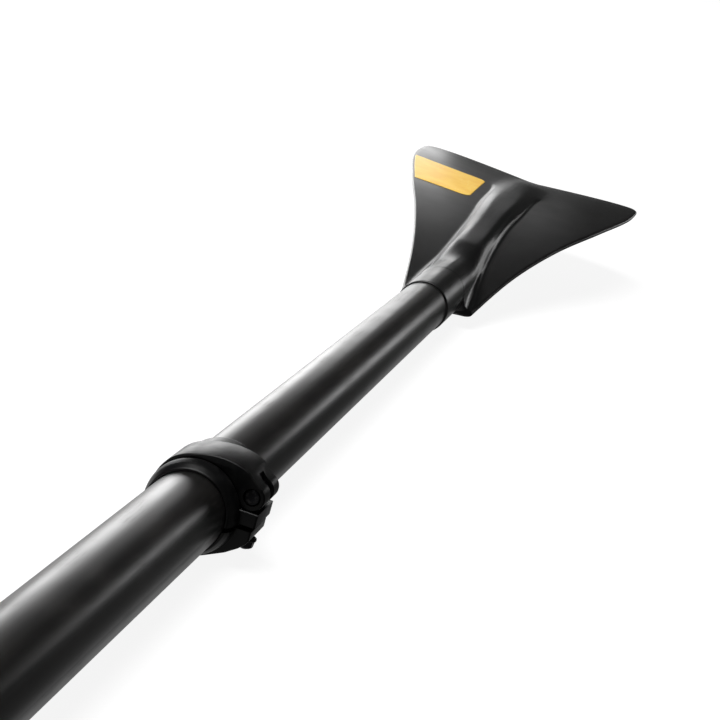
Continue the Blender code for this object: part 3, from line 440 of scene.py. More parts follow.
class Forms:
    """Mesh builders that the sub-assemblies share; all work in shaft coordinates."""

    SHARP_ANGLE = math.radians(36.0)
    NEARLY_STRAIGHT = math.radians(170.0)
    POLE = 1e-7
    MERGE = 1e-6
    CORNER_SHARE = 0.45

    @staticmethod
    def linked(name: str, data: bpy.types.ID) -> bpy.types.Object:
        """Put a mesh, curve, lamp or camera in the scene.

        Args:
            name: name of the object.
            data: what the object holds.

        Returns:
            The new object.
        """
        item = bpy.data.objects.new(name, data)
        bpy.context.scene.collection.objects.link(item)
        return item

    @staticmethod
    def baked(item: bpy.types.Object) -> bpy.types.Mesh:
        """Bake an object's modifiers into a mesh.

        Args:
            item: object, which is used up.

        Returns:
            The baked mesh.
        """
        graph = bpy.context.evaluated_depsgraph_get()
        mesh = bpy.data.meshes.new_from_object(item.evaluated_get(graph))
        bpy.data.objects.remove(item, do_unlink=True)
        return mesh

    @classmethod
    def smoothed(cls, mesh: bpy.types.Mesh) -> bpy.types.Mesh:
        """Shade a mesh smooth with its real edges sharp.

        Args:
            mesh: mesh that is shaded.

        Returns:
            The same mesh.
        """
        mesh.shade_smooth()
        mesh.set_sharp_from_angle(angle=cls.SHARP_ANGLE)
        return mesh

    @classmethod
    def close(cls, work: bmesh.types.BMesh, name: str) -> bpy.types.Mesh:
        """Turn an edited mesh into a finished one.

        Args:
            work: edited mesh, which is used up.
            name: name of the new mesh.

        Returns:
            The finished mesh.
        """
        bmesh.ops.recalc_face_normals(work, faces=work.faces)
        mesh = bpy.data.meshes.new(name)
        work.to_mesh(mesh)
        work.free()
        return cls.smoothed(mesh)

    @staticmethod
    def face(work: bmesh.types.BMesh, corners: Sequence[bmesh.types.BMVert]) -> None:
        """Add a face, unless its corners fall together.

        Args:
            work: mesh that the face goes to.
            corners: its corners, in order; repeated ones are left out.
        """
        single = list(dict.fromkeys(corners))
        if len(single) > 2:
            work.faces.new(single)

    @classmethod
    def skin(
        cls, work: bmesh.types.BMesh, rings: Sequence[Sequence[Triple]], closed: bool = False
    ) -> list[list[bmesh.types.BMVert]]:
        """Join rings of points with faces.

        Args:
            work: mesh that the faces go to.
            rings: rings with as many points each, or with a single point for a pole.
            closed: whether the last ring is joined to the first.

        Returns:
            The corners of each ring.
        """
        corners = [[work.verts.new(point) for point in ring] for ring in rings]
        pairs = list(zip(corners, corners[1:])) + ([(corners[-1], corners[0])] if closed else [])
        for first, second in pairs:
            count = max(len(first), len(second))
            for index in range(count):
                near, far = index, (index + 1) % count
                spots = [(first, near), (first, far), (second, far), (second, near)]
                cls.face(work, [ring[spot % len(ring)] for ring, spot in spots])
        return corners

    @classmethod
    def eased_corners(cls, points: Sequence[Pair], radius: float, closed: bool, steps: int = 4) -> list[Pair]:
        """Round the corners of a flat line.

        Args:
            points: the line's points.
            radius: length that the rounding takes from each side of a corner.
            closed: whether the line runs back to its start.
            steps: segments in each rounded corner.

        Returns:
            The points of the rounded line.
        """
        result: list[Pair] = []
        for index, point in enumerate(points):
            corner = Vector(point)
            before = Vector(points[index - 1]) - corner
            after = Vector(points[(index + 1) % len(points)]) - corner
            end = index in (0, len(points) - 1) and not closed
            if end or min(before.length, after.length) < cls.POLE or before.angle(after) > cls.NEARLY_STRAIGHT:
                result.append(tuple(point))
                continue
            start = corner + before.normalized() * min(radius, before.length * cls.CORNER_SHARE)
            stop = corner + after.normalized() * min(radius, after.length * cls.CORNER_SHARE)
            for t in shares(steps):
                result.append(tuple((1 - t) ** 2 * start + 2 * t * (1 - t) * corner + t * t * stop))
        return result

    @classmethod
    def turned(
        cls,
        name: str,
        profile: Sequence[Pair],
        axis: Axis = Axis.SHAFT,
        centre: Triple = (0.0, 0.0, 0.0),
        sides: int = 96,
        closed: bool = True,
        ease: float = 0.0,
        reshape: Callable[[float, float, float], float] | None = None,
    ) -> bpy.types.Mesh:
        """Turn a profile about an axis.

        Args:
            name: name of the mesh.
            profile: (radius, distance along the axis) points.
            axis: direction of the axis.
            centre: point that the axis passes through, where the distance is zero.
            sides: facets round the piece.
            closed: whether the profile is a ring; an open one starts and ends on the axis.
            ease: length that the rounding takes from each side of a corner, or 0.
            reshape: gives the radius from (angle, radius, distance) where the piece isn't round.

        Returns:
            The turned mesh.
        """
        rings = []
        for radius, along in cls.eased_corners(profile, ease, closed) if ease else profile:
            ring = []
            for index in range(1 if radius < cls.POLE else sides):
                angle = 2 * math.pi * index / sides
                reach = reshape(angle, radius, along) if reshape and radius >= cls.POLE else radius
                across, up = reach * math.cos(angle), reach * math.sin(angle)
                spot = {
                    Axis.SHAFT: (along, across, up),
                    Axis.ACROSS: (across, along, up),
                    Axis.UP: (across, up, along),
                }[axis]
                ring.append(Vector(spot) + Vector(centre))
            rings.append(ring)
        work = bmesh.new()
        cls.skin(work, rings, closed)
        return cls.close(work, name)

    @classmethod
    def drill(cls, axis: Axis, centre: Triple, sides: int, *steps: Pair) -> tuple[str, bpy.types.Mesh]:
        """Cut that makes a round hole.

        Args:
            axis: direction of the hole.
            centre: point that the axis passes through.
            sides: facets round the hole.
            steps: (radius, distance along the axis) points of the hole's wall.

        Returns:
            The operation and the mesh that does it.
        """
        profile = [(0.0, steps[0][1]), *steps, (0.0, steps[-1][1])]
        return CUT, cls.turned("drill", profile, axis, centre, sides, closed=False)

    @staticmethod
    def rod(radius: float, low: float, high: float, chamfer: float) -> list[Pair]:
        """Open profile of a rod with chamfered ends."""
        end = [(0.0, 0.0), (radius - chamfer, 0.0), (radius, chamfer)]
        return [(r, high - depth) for r, depth in end] + [(r, low + depth) for r, depth in end[::-1]]

    @staticmethod
    def rim(radius: float, rounding: float) -> list[Pair]:
        """Points of a rounded outer rim, as (radius, distance from the end face)."""
        turns = [math.pi / 2 * share for share in shares(5)]
        return [(radius - rounding * (1 - math.sin(t)), rounding * (1 - math.cos(t))) for t in turns]

    @staticmethod
    def ring(bore: float, radius: float, low: float, high: float) -> list[Pair]:
        """Closed profile of a plain ring or tube."""
        return [(bore, high), (radius, high), (radius, low), (bore, low)]

    @classmethod
    def slab(
        cls, name: str, outline: Sequence[Pair], middle: float, width: float, rounding: float = 0.0
    ) -> bpy.types.Mesh:
        """Give an outline across the shaft a thickness along it, with rounded rims.

        Args:
            name: name of the mesh.
            outline: (across, up) points.
            middle: station of the slab's middle.
            width: thickness along the shaft.
            rounding: radius of the rims.

        Returns:
            The slab's mesh.
        """
        curve = bpy.data.curves.new(name, "CURVE")
        curve.dimensions = "2D"
        curve.fill_mode = "BOTH"
        curve.extrude = width / 2 - rounding
        curve.bevel_depth = rounding
        curve.bevel_resolution = 3
        curve.offset = -rounding
        spline = curve.splines.new("POLY")
        spline.points.add(len(outline) - 1)
        for point, (across, up) in zip(spline.points, outline):
            point.co = (across, up, 0.0, 1.0)
        spline.use_cyclic_u = True
        work = bmesh.new()
        work.from_mesh(cls.baked(cls.linked(name, curve)))
        bmesh.ops.remove_doubles(work, verts=work.verts, dist=cls.MERGE)
        turn = Matrix(((0, 0, 1), (1, 0, 0), (0, 1, 0))).to_4x4()
        bmesh.ops.transform(work, matrix=Matrix.Translation((middle, 0.0, 0.0)) @ turn, verts=work.verts)
        return cls.close(work, name)

    @classmethod
    def block(cls, name: str, low: Triple, high: Triple) -> bpy.types.Mesh:
        """Make a plain block for cutting or joining.

        Args:
            name: name of the mesh.
            low: lowest corner.
            high: highest corner.

        Returns:
            The block's mesh.
        """
        work = bmesh.new()
        bmesh.ops.create_cube(work, size=1.0)
        bmesh.ops.scale(work, vec=Vector(high) - Vector(low), verts=work.verts)
        bmesh.ops.translate(work, vec=(Vector(low) + Vector(high)) / 2, verts=work.verts)
        return cls.close(work, name)

    @classmethod
    def carved(cls, name: str, mesh: bpy.types.Mesh, *steps: tuple[str, bpy.types.Mesh]) -> bpy.types.Mesh:
        """Cut or join meshes.

        Args:
            name: name of the result.
            mesh: mesh that is worked on.
            steps: (operation, mesh) pairs, in order.

        Returns:
            The carved mesh.
        """
        item = cls.linked(name, mesh)
        tools = [cls.linked(f"{name}_tool", shape) for _, shape in steps]
        for (operation, _), tool in zip(steps, tools):
            change = item.modifiers.new(tool.name, "BOOLEAN")
            change.operation = operation
            change.object = tool
            change.solver = "EXACT"
        result = cls.baked(item)
        for tool in tools:
            bpy.data.objects.remove(tool, do_unlink=True)
        result.name = name
        return cls.smoothed(result)


@dataclass(frozen=True)
class Shaft:
    """Sizes and stations that several sub-assemblies share, in metres."""

    gap: float = 0.0003
    radius: float = 0.0150
    wall: float = 0.0013
    handle_radius: float = 0.0132
    handle_wall: float = 0.0012
    lower_shown: float = 0.4090
    mid_length: float = 0.7320
    handle_length: float = 0.5900
    handle_shown: float = 0.0350
    clamp_length: float = 0.0450
    clamp_lip: float = 0.0040
    grip_socket: float = 0.0450
    screw_setback: float = 0.0180
    screw_radius: float = 0.0015
    swage_radius: float = 0.0142
    swage_taper: float = 0.0008
    socket_depth: float = 0.0800

    @property
    def bore(self) -> float:
        """Bore radius of the lower and middle tubes."""
        return self.radius - self.wall

    @property
    def handle_bore(self) -> float:
        """Bore radius of the handle tube."""
        return self.handle_radius - self.handle_wall

    @property
    def joint(self) -> float:
        """Station where the lower tube ends."""
        return -self.lower_shown

    @property
    def mid_front(self) -> float:
        """Station of the middle tube's end at the joint."""
        return self.joint - self.gap

    @property
    def mid_back(self) -> float:
        """Station of the middle tube's end at the handle."""
        return self.mid_front - self.mid_length

    @property
    def upper_clamp_back(self) -> float:
        """Station of the upper clamp's end at the handle."""
        return self.mid_back - self.gap - self.clamp_lip

    @property
    def grip_mouth(self) -> float:
        """Station where the handle tube enters the grip."""
        return self.upper_clamp_back - self.handle_shown

    @property
    def handle_back(self) -> float:
        """Station of the handle tube's end in the grip."""
        return self.grip_mouth - self.grip_socket + self.gap

    @property
    def handle_front(self) -> float:
        """Station of the handle tube's inner end."""
        return self.handle_back + self.handle_length

    @property
    def screw_spot(self) -> Triple:
        """Point on the shaft's axis that the grip's screw aims at."""
        return self.grip_mouth - self.screw_setback, 0.0, 0.0


@dataclass
class Assembly:
    """Base of the sub-assemblies: puts each piece in place and reports it."""

    shaft: Shaft = field(default_factory=Shaft)

    def show(self, node: str, mesh: bpy.types.Mesh, body: Body, finish: Finish) -> None:
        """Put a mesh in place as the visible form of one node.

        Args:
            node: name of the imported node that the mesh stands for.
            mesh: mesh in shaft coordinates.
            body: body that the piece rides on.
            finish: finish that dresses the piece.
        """
        mesh.transform(Matrix.Translation(DATUM))
        mesh.materials.clear()
        mesh.materials.append(finish.material())
        piece = Forms.linked(node + "_piece", mesh)
        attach(piece, body.value)
        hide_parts(node)
        LOG.info("%s: %d faces, %s", piece.name, len(mesh.polygons), finish.name)


@dataclass
class Blade(Assembly):
    """Moulded blade: a hollow neck that opens into a flared plate with a rib and a short keel."""

    length: float = 0.4520
    half_width: float = 0.0926
    neck_radius: float = 0.0160
    heel_station: float = 0.0600
    heel_half_width: float = 0.0235
    heel_round: float = 0.0050
    plate_drop: float = 0.0094
    cant_slope: float = 0.269
    scoop: float = 0.43
    dihedral: float = 0.095
    far_edge_bow: float = 0.0210
    corner_cut: float = 0.0260
    root_thickness: float = 0.0050
    edge_thickness: float = 0.0028
    rib_half_width: float = 0.0204
    keel_half_width: float = 0.0190
    rib_squareness: float = 6.0
    bulge_half_width: float = 0.0260
    flank_slope: float = 3.0
    web_slope: float = 0.7
    fillet: float = 0.0016
    web_fillet: float = 0.0020
    bead_line: tuple[Pair, ...] = (
        (0.060, 0.0202), (0.074, 0.0196), (0.090, 0.0182), (0.131, 0.0150), (0.176, 0.0134), (0.224, 0.0134),
        (0.275, 0.0156), (0.400, 0.0170),
    )
    bead_height: float = 0.0016
    bead_spread: float = 0.0013
    hollow_depth: float = 0.0007
    hollow_centre: float = 0.76
    hollow_spread: float = 0.22
    hollow_start: Pair = (0.110, 0.140)
    web_fade: Pair = (0.080, 0.130)
    bead_fade: Pair = (0.250, 0.340)
    bulge_start: Pair = (0.250, 0.350)
    flank_limit: float = -3.0
    far_fillet_share: float = 0.1
    rib_blend: float = 0.0850
    keel_blend: float = 0.0400
    keel_angle: float = 52.0
    bow_parts: tuple[Pair, ...] = ((0.72, 2.0), (0.28, 8.0))
    bend_power: float = 2.5
    heel_steps: int = 10
    heel_margin: float = 0.0010
    root_spread: float = 5.0
    crest_blend: Pair = (0.03, 0.20)
    far_fade_power: float = 6.0
    far_round_power: float = 0.9
    neck_stations: tuple[float, ...] = (0.004, 0.012, 0.024, 0.036, 0.048, 0.053, 0.057)
    far_angles: tuple[float, ...] = (18.0, 36.0, 54.0, 70.0, 82.0)
    keel_end: float = 0.2000
    mouth_round: float = 0.0007
    flare: tuple[Pair, ...] = ((0.0, 0.0), (0.2, 0.19), (0.4, 0.443), (0.6, 0.735), (0.8, 0.955), (1.0, 1.0))
    crest: tuple[Pair, ...] = (
        (0.20, 0.0112), (0.33, 0.0074), (0.48, 0.0064), (0.64, 0.0057), (0.80, 0.0048), (1.0, 0.0004),
    )
    rib_steps: int = 42
    foot_share: float = 0.8
    wing_steps: int = 26
    rim_steps: int = 5
    plate_rows: int = 84
    corner_rows: int = 12

    @property
    def plate_length(self) -> float:
        """Station where the last plate row ends at the middle."""
        return self.length - self.edge_thickness / 2

    @property
    def corner_station(self) -> float:
        """Station of the plate's corner before it is rounded."""
        return self.plate_length - self.far_edge_bow

    @staticmethod
    def step(value: float, low: float, high: float) -> float:
        """Ease from 0 at low to 1 at high."""
        ratio = min(max((value - low) / (high - low), 0.0), 1.0)
        return ratio * ratio * (3.0 - 2.0 * ratio)

    @staticmethod
    def line(points: Sequence[Pair], value: float) -> float:
        """Read a smooth curve.

        Args:
            points: (position, height) points of the curve.
            value: position that is read.

        Returns:
            The curve's height there.
        """
        if value <= points[0][0]:
            return points[0][1]
        if value >= points[-1][0]:
            return points[-1][1]
        count = len(points)
        slopes = []
        for index in range(count):
            before, after = points[max(index - 1, 0)], points[min(index + 1, count - 1)]
            slopes.append((after[1] - before[1]) / (after[0] - before[0]))
        found = max(index for index in range(count - 1) if points[index][0] <= value)
        (x0, y0), (x1, y1) = points[found], points[found + 1]
        span = x1 - x0
        t = (value - x0) / span
        start = (2 * t ** 3 - 3 * t ** 2 + 1) * y0 + (t ** 3 - 2 * t ** 2 + t) * span * slopes[found]
        end = (3 * t ** 2 - 2 * t ** 3) * y1 + (t ** 3 - t ** 2) * span * slopes[found + 1]
        return start + end

    def side(self, station: float) -> float:
        """Half-width of the plate at a station."""
        share = (station - self.heel_station) / (self.corner_station - self.heel_station)
        return self.heel_half_width + (self.half_width - self.heel_half_width) * self.line(self.flare, share)

    def level(self, station: float, across: float) -> float:
        """Height of the plate's middle surface.

        Args:
            station: distance along the shaft.
            across: distance from the middle.

        Returns:
            The height over the shaft's axis.
        """
        run = station - self.heel_station
        share = min(max(run / (self.plate_length - self.heel_station), 0.0), 1.0)
        lean = self.cant_slope * run - self.scoop * run * run
        return -self.plate_drop + lean + self.dihedral * share * abs(across)

    def half_thickness(self, across: float, half_width: float) -> float:
        """Half of the plate's thickness, less towards its edge."""
        share = min(abs(across) / half_width, 1.0)
        return (self.root_thickness + (self.edge_thickness - self.root_thickness) * share) / 2

    def rows(self) -> list[Triple]:
        """Rows of the plate from the heel to the far edge.

        Returns:
            (side station, half-width, middle station) of each row.
        """
        cut_station = self.corner_station - self.corner_cut
        corner = Vector((self.corner_station, self.half_width))
        side_end = Vector((cut_station, self.side(cut_station)))
        edge_half = self.half_width - self.corner_cut
        bow = self.far_edge_bow * (edge_half / self.half_width) ** 2
        edge_end = Vector((self.plate_length - bow, edge_half))
        points = []
        for index in range(1, self.plate_rows + 1):
            station = self.heel_station + (cut_station - self.heel_station) * index / self.plate_rows
            points.append(Vector((station, self.side(station))))
        for index in range(1, self.corner_rows + 1):
            t = 0.5 * index / self.corner_rows
            points.append((1 - t) ** 2 * side_end + 2 * t * (1 - t) * corner + t ** 2 * edge_end)
        last = points[-1].x
        bend_start = self.heel_station + (last - self.heel_station) / 2
        result = []
        for point in points:
            ease = max((point.x - bend_start) / (last - bend_start), 0.0) ** self.bend_power
            result.append((point.x, point.y, point.x + (self.plate_length - last) * ease))
        return result

    def bowed(self, row: Triple, across: float) -> float:
        """Station of a point on a bowed row.

        Args:
            row: (side station, half-width, middle station) of the row.
            across: distance from the middle.

        Returns:
            The station of the point.
        """
        side, half_width, centre = row
        share = min(abs(across) / half_width, 1.0)
        return centre + (side - centre) * sum(part * share ** power for part, power in self.bow_parts)

    def crest_height(self, station: float) -> float:
        """Height of the rib's crest.

        Args:
            station: distance along the shaft.

        Returns:
            The height, which eases from the neck's to the rib's.
        """
        share = (station - self.heel_station) / (self.plate_length - self.heel_station)
        top = self.level(station, 0.0) + self.root_thickness / 2
        blend = self.step(share, *self.crest_blend)
        return (1 - blend) * self.neck_radius + blend * (top + self.line(self.crest, share))

    def keel_height(self, station: float) -> float:
        """Height of the keel's lowest line.

        Args:
            station: distance along the shaft.

        Returns:
            The height, which eases from the neck's to the plate's underside.
        """
        bottom = self.level(station, 0.0) - self.root_thickness / 2
        blend = self.step(station, self.shaft.socket_depth, self.keel_end)
        return (1 - blend) * -self.neck_radius + blend * bottom

    def neck_arc(self, low: float, high: float, count: int) -> list[Pair]:
        """Points on the neck's outside, as (across, up), between two angles in degrees."""
        angles = [math.radians(low + (high - low) * share) for share in shares(count)]
        return [(self.neck_radius * math.cos(a), self.neck_radius * math.sin(a)) for a in angles]

    def neck_half(self) -> list[Pair]:
        """Half of the neck's outline, in the same order of points as a plate row.

        Returns:
            (across, up) points from the top to the bottom.
        """
        root = math.degrees(math.asin(-self.plate_drop / self.neck_radius))
        high, low = root + self.root_spread, root - self.root_spread
        side = self.neck_arc(high, low, 2 * self.wing_steps + self.rim_steps + 1)[1:-1]
        return self.neck_arc(90.0, high, self.rib_steps) + side + self.neck_arc(low, -90.0, self.rib_steps)

    @staticmethod
    def fuller(first: float, second: float, ease: float) -> float:
        """The larger of two heights, with the corner between them eased."""
        return (first + second + math.hypot(first - second, ease)) / 2

    def top(self, row: Triple, across: float) -> float:
        """Height of the upper face.

        Args:
            row: the plate row that the point is on.
            across: distance from the middle.

        Returns:
            The height of the plate, the neck's back, the rib and the bead along its foot.
        """
        centre, radius = row[2], self.neck_radius
        plate = self.level(self.bowed(row, across), across) + self.half_thickness(across, row[1])
        crest, foot = self.crest_height(centre), self.line(self.bead_line, centre)
        rise = max(crest - plate, 0.0)
        back = crest - radius
        if across < radius:
            back += math.sqrt(radius ** 2 - across ** 2)
        else:
            back -= self.flank_slope * (across - radius)
        rib = plate + rise * max(1 - (across / foot) ** self.rib_squareness, self.flank_limit)
        bulge = plate + rise * (0.5 + 0.5 * math.cos(math.pi * min(across / self.bulge_half_width, 1.0)))
        rib += (bulge - rib) * self.step(centre, *self.bulge_start)
        blend = self.step(centre, self.shaft.socket_depth, self.shaft.socket_depth + self.rib_blend)
        near, fade = 1 - self.step(centre, *self.web_fade), 1 - self.step(centre, *self.bead_fade)
        web = self.web_slope * max(foot - across, 0.0) * near
        fillet = self.fillet * (self.far_fillet_share + (1 - self.far_fillet_share) * fade)
        up = self.fuller((1 - blend) * back + blend * rib, plate + web, fillet + self.web_fillet * near)
        bead = math.exp(-((across - foot) / (self.bead_spread * (1 + near))) ** 2)
        if across < foot:
            bead = max(bead, near * self.step(across, 0.5 * radius, foot))
        dip = math.exp(-((across / foot - self.hollow_centre) / self.hollow_spread) ** 2)
        dip *= self.step(centre, *self.hollow_start)
        return up + fade * (self.bead_height * bead - self.hollow_depth * dip)

    def rib_half(self, row: Triple) -> list[Triple]:
        """Half of the rib's outline.

        Args:
            row: the plate row that the rib stands on.

        Returns:
            (station, across, up) points from the crest to the root.
        """
        foot, inside = self.line(self.bead_line, row[2]), self.foot_share
        points = []
        for share in shares(self.rib_steps):
            across = foot * share / inside
            if share >= inside:
                across = foot + (self.rib_half_width - foot) * (share - inside) / (1 - inside)
            points.append((self.bowed(row, across), across, self.top(row, across)))
        return points

    def keel_half(self, row: Triple) -> list[Triple]:
        """Half of the keel's outline.

        Args:
            row: the plate row that the keel hangs under.

        Returns:
            (station, across, up) points from the root to the lowest line.
        """
        centre, radius, socket = row[2], self.neck_radius, self.shaft.socket_depth
        blend = self.step(centre, socket, socket + self.keel_blend)
        depth = self.level(centre, 0.0) - self.root_thickness / 2 - self.keel_height(centre)
        points = []
        for share in shares(self.rib_steps)[::-1]:
            angle = math.radians(self.keel_angle * share)
            across = self.keel_half_width * share
            plate = self.level(self.bowed(row, across), across) - self.half_thickness(across, row[1])
            up = plate - depth * (0.5 + 0.5 * math.cos(math.pi * share))
            across = radius * math.sin(angle) * (1 - blend) + across * blend
            points.append((self.bowed(row, across), across, up * blend - radius * math.cos(angle) * (1 - blend)))
        return points

    def plate_half(self, row: Triple) -> list[Triple]:
        """Half of a plate row's outline.

        Args:
            row: (side station, half-width, middle station) of the row.

        Returns:
            (station, across, up) points from the crest round the edge to the keel.
        """
        half_width = row[1]
        upper, lower = self.rib_half(row), self.keel_half(row)
        edge = self.edge_thickness / 2
        top, under = [], []
        for share in shares(self.wing_steps)[1:]:
            for root, sign, line in ((upper[-1][1], 1, top), (lower[0][1], -1, under)):
                across = root + (half_width - edge - root) * share
                station = self.bowed(row, across)
                under_up = self.level(station, across) - self.half_thickness(across, half_width)
                line.append((station, across, self.top(row, across) if sign > 0 else under_up))
        rim = []
        for index in range(1, self.rim_steps + 1):
            angle = math.pi / 2 - math.pi * index / (self.rim_steps + 1)
            across = half_width - edge + edge * math.cos(angle)
            station = self.bowed(row, across)
            rim.append((station, across, self.level(station, across) + edge * math.sin(angle)))
        return upper + top + rim + under[::-1] + lower

    @staticmethod
    def mirrored(half: Sequence[Triple]) -> list[Triple]:
        """Complete a half outline with its mirror image."""
        return list(half) + [(station, -across, up) for station, across, up in half[1:-1]][::-1]

    def heel_loops(self) -> list[list[Triple]]:
        """Outlines that round the heel, from the neck out to the first plate row.

        Returns:
            The outlines in order.
        """
        root = self.neck_radius * math.cos(math.asin(self.plate_drop / self.neck_radius))
        loops = []
        for turn in shares(self.heel_steps)[1:]:
            angle = math.pi / 2 * turn
            station = self.heel_station + self.heel_round * (0.5 - math.cos(angle))
            share = math.sin(angle)
            full = self.side(max(station, self.heel_station))
            half_width = max(root + (full - root) * share, root + self.heel_margin)
            plate = self.plate_half((station, half_width, station))
            mixed = []
            for (near_across, near_up), (_, across, up) in zip(self.neck_half(), plate):
                width = near_across + (across - near_across) * share
                mixed.append((station, width, near_up + (up - near_up) * share))
            loops.append(self.mirrored(mixed))
        return loops

    def far_loops(self, row: Triple) -> list[list[Triple]]:
        """Outlines that round the far edge.

        Args:
            row: the last plate row.

        Returns:
            The outlines in order, each narrower than the last.
        """
        loops = []
        for angle in map(math.radians, self.far_angles):
            shifted = []
            for station, across, up in self.plate_half(row):
                plate = self.level(station, across)
                fade = 1 - min(abs(across) / row[1], 1.0) ** self.far_fade_power
                outward = self.edge_thickness / 2 * math.sin(angle) * fade
                lower = math.cos(angle) ** self.far_round_power
                shifted.append((station + outward, across, plate + (up - plate) * lower))
            loops.append(self.mirrored(shifted))
        return loops

    def neck_loops(self) -> list[list[Triple]]:
        """Outlines of the socket's bore and of the neck's outside.

        Returns:
            The outlines in order, from the blind end of the bore.
        """
        half = self.neck_half()
        bore = self.shaft.swage_radius + self.shaft.gap
        taper = self.shaft.swage_taper
        sizes = [(bore, self.shaft.socket_depth), (bore, taper * 2), (bore, taper), (bore + taper / 2, 0.0)]
        sizes += Forms.rim(self.neck_radius, self.mouth_round)
        sizes += [(self.neck_radius, station) for station in self.neck_stations]
        loops = []
        for radius, station in sizes:
            scale = radius / self.neck_radius
            loops.append(self.mirrored([(station, across * scale, up * scale) for across, up in half]))
        return loops

    def mesh(self) -> bpy.types.Mesh:
        """Build the blade's mesh.

        Returns:
            The mesh in shaft coordinates.
        """
        rows = self.rows()
        loops = self.neck_loops() + self.heel_loops()
        loops += [self.mirrored(self.plate_half(row)) for row in rows]
        loops += self.far_loops(rows[-1])
        work = bmesh.new()
        corners = Forms.skin(work, loops)
        work.faces.new(corners[0])
        last, count = corners[-1], len(corners[-1])
        half = count // 2
        for index in range((half + 1) // 2):
            for side in (1, -1):
                spots = (index, half - index, half - index - 1, index + 1)
                Forms.face(work, [last[side * spot % count] for spot in spots])
        return Forms.close(work, "blade")

    def build(self) -> None:
        """Build and dress the blade."""
        self.show("blade", self.mesh(), Body.LOWER, BLADE_FINISH)


@dataclass
class Label(Assembly):
    """Bare film on the left half of the blade's upper face."""

    blade: Blade = field(default_factory=Blade)
    station: float = 0.2740
    length: float = 0.0730
    inset: float = 0.0265
    margin: float = 0.0018
    thickness: float = 0.00045
    rim_share: float = 0.25
    clearance: float = 0.00001
    corner: float = 0.0060
    rim: float = 0.0007
    rows: int = 60
    columns: int = 60

    def edges(self, share: float) -> Pair:
        """Inner and outer edge of the label at a share of its length.

        Args:
            share: 0 at the end towards the shaft, 1 at the far end.

        Returns:
            (inner, outer) distances from the blade's middle.
        """
        station = self.station + self.length * share
        from_end = min(share, 1 - share) * self.length
        reach = 1 - min(from_end / self.corner, 1.0)
        inset = self.corner * (1 - math.sqrt(max(0.0, 1 - reach ** 2)))
        return self.inset + inset, self.blade.side(station) - self.margin

    def point(self, row: int, column: int, upper: bool) -> Triple:
        """Point of the film.

        Args:
            row: row of the grid along the shaft.
            column: column of the grid across it.
            upper: whether the point is on the upper face.

        Returns:
            The point in shaft coordinates.
        """
        share = 0.5 - 0.5 * math.cos(math.pi * row / self.rows)
        across_share = 0.5 - 0.5 * math.cos(math.pi * column / self.columns)
        inner, outer = self.edges(share)
        station = self.station + self.length * share
        across = inner + (outer - inner) * across_share
        from_rim = min(share, 1 - share) * self.length
        from_rim = min(from_rim, min(across_share, 1 - across_share) * (outer - inner))
        reach = 1 - min(from_rim / self.rim, 1.0)
        rounding = self.rim_share + (1 - self.rim_share) * math.sqrt(1 - reach ** 2)
        lift = self.thickness * rounding if upper else self.clearance
        half = self.blade.half_thickness(across, self.blade.side(station))
        return station, across, self.blade.level(station, across) + half + lift

    def mesh(self) -> bpy.types.Mesh:
        """Build the film's mesh.

        Returns:
            The mesh in shaft coordinates.
        """
        columns, rings = range(self.columns + 1), []
        for row in range(self.rows + 1):
            under, upper = ([self.point(row, column, top) for column in columns] for top in (False, True))
            rings.append(under + upper[::-1])
        work = bmesh.new()
        corners = Forms.skin(work, rings)
        for ring in (corners[0], corners[-1]):
            for index in range(self.columns):
                work.faces.new((ring[index], ring[index + 1], ring[-2 - index], ring[-1 - index]))
        return Forms.close(work, "blade_label")

    def build(self) -> None:
        """Build and dress the label."""
        self.show("blade_label", self.mesh(), Body.LOWER, LABEL_FINISH)


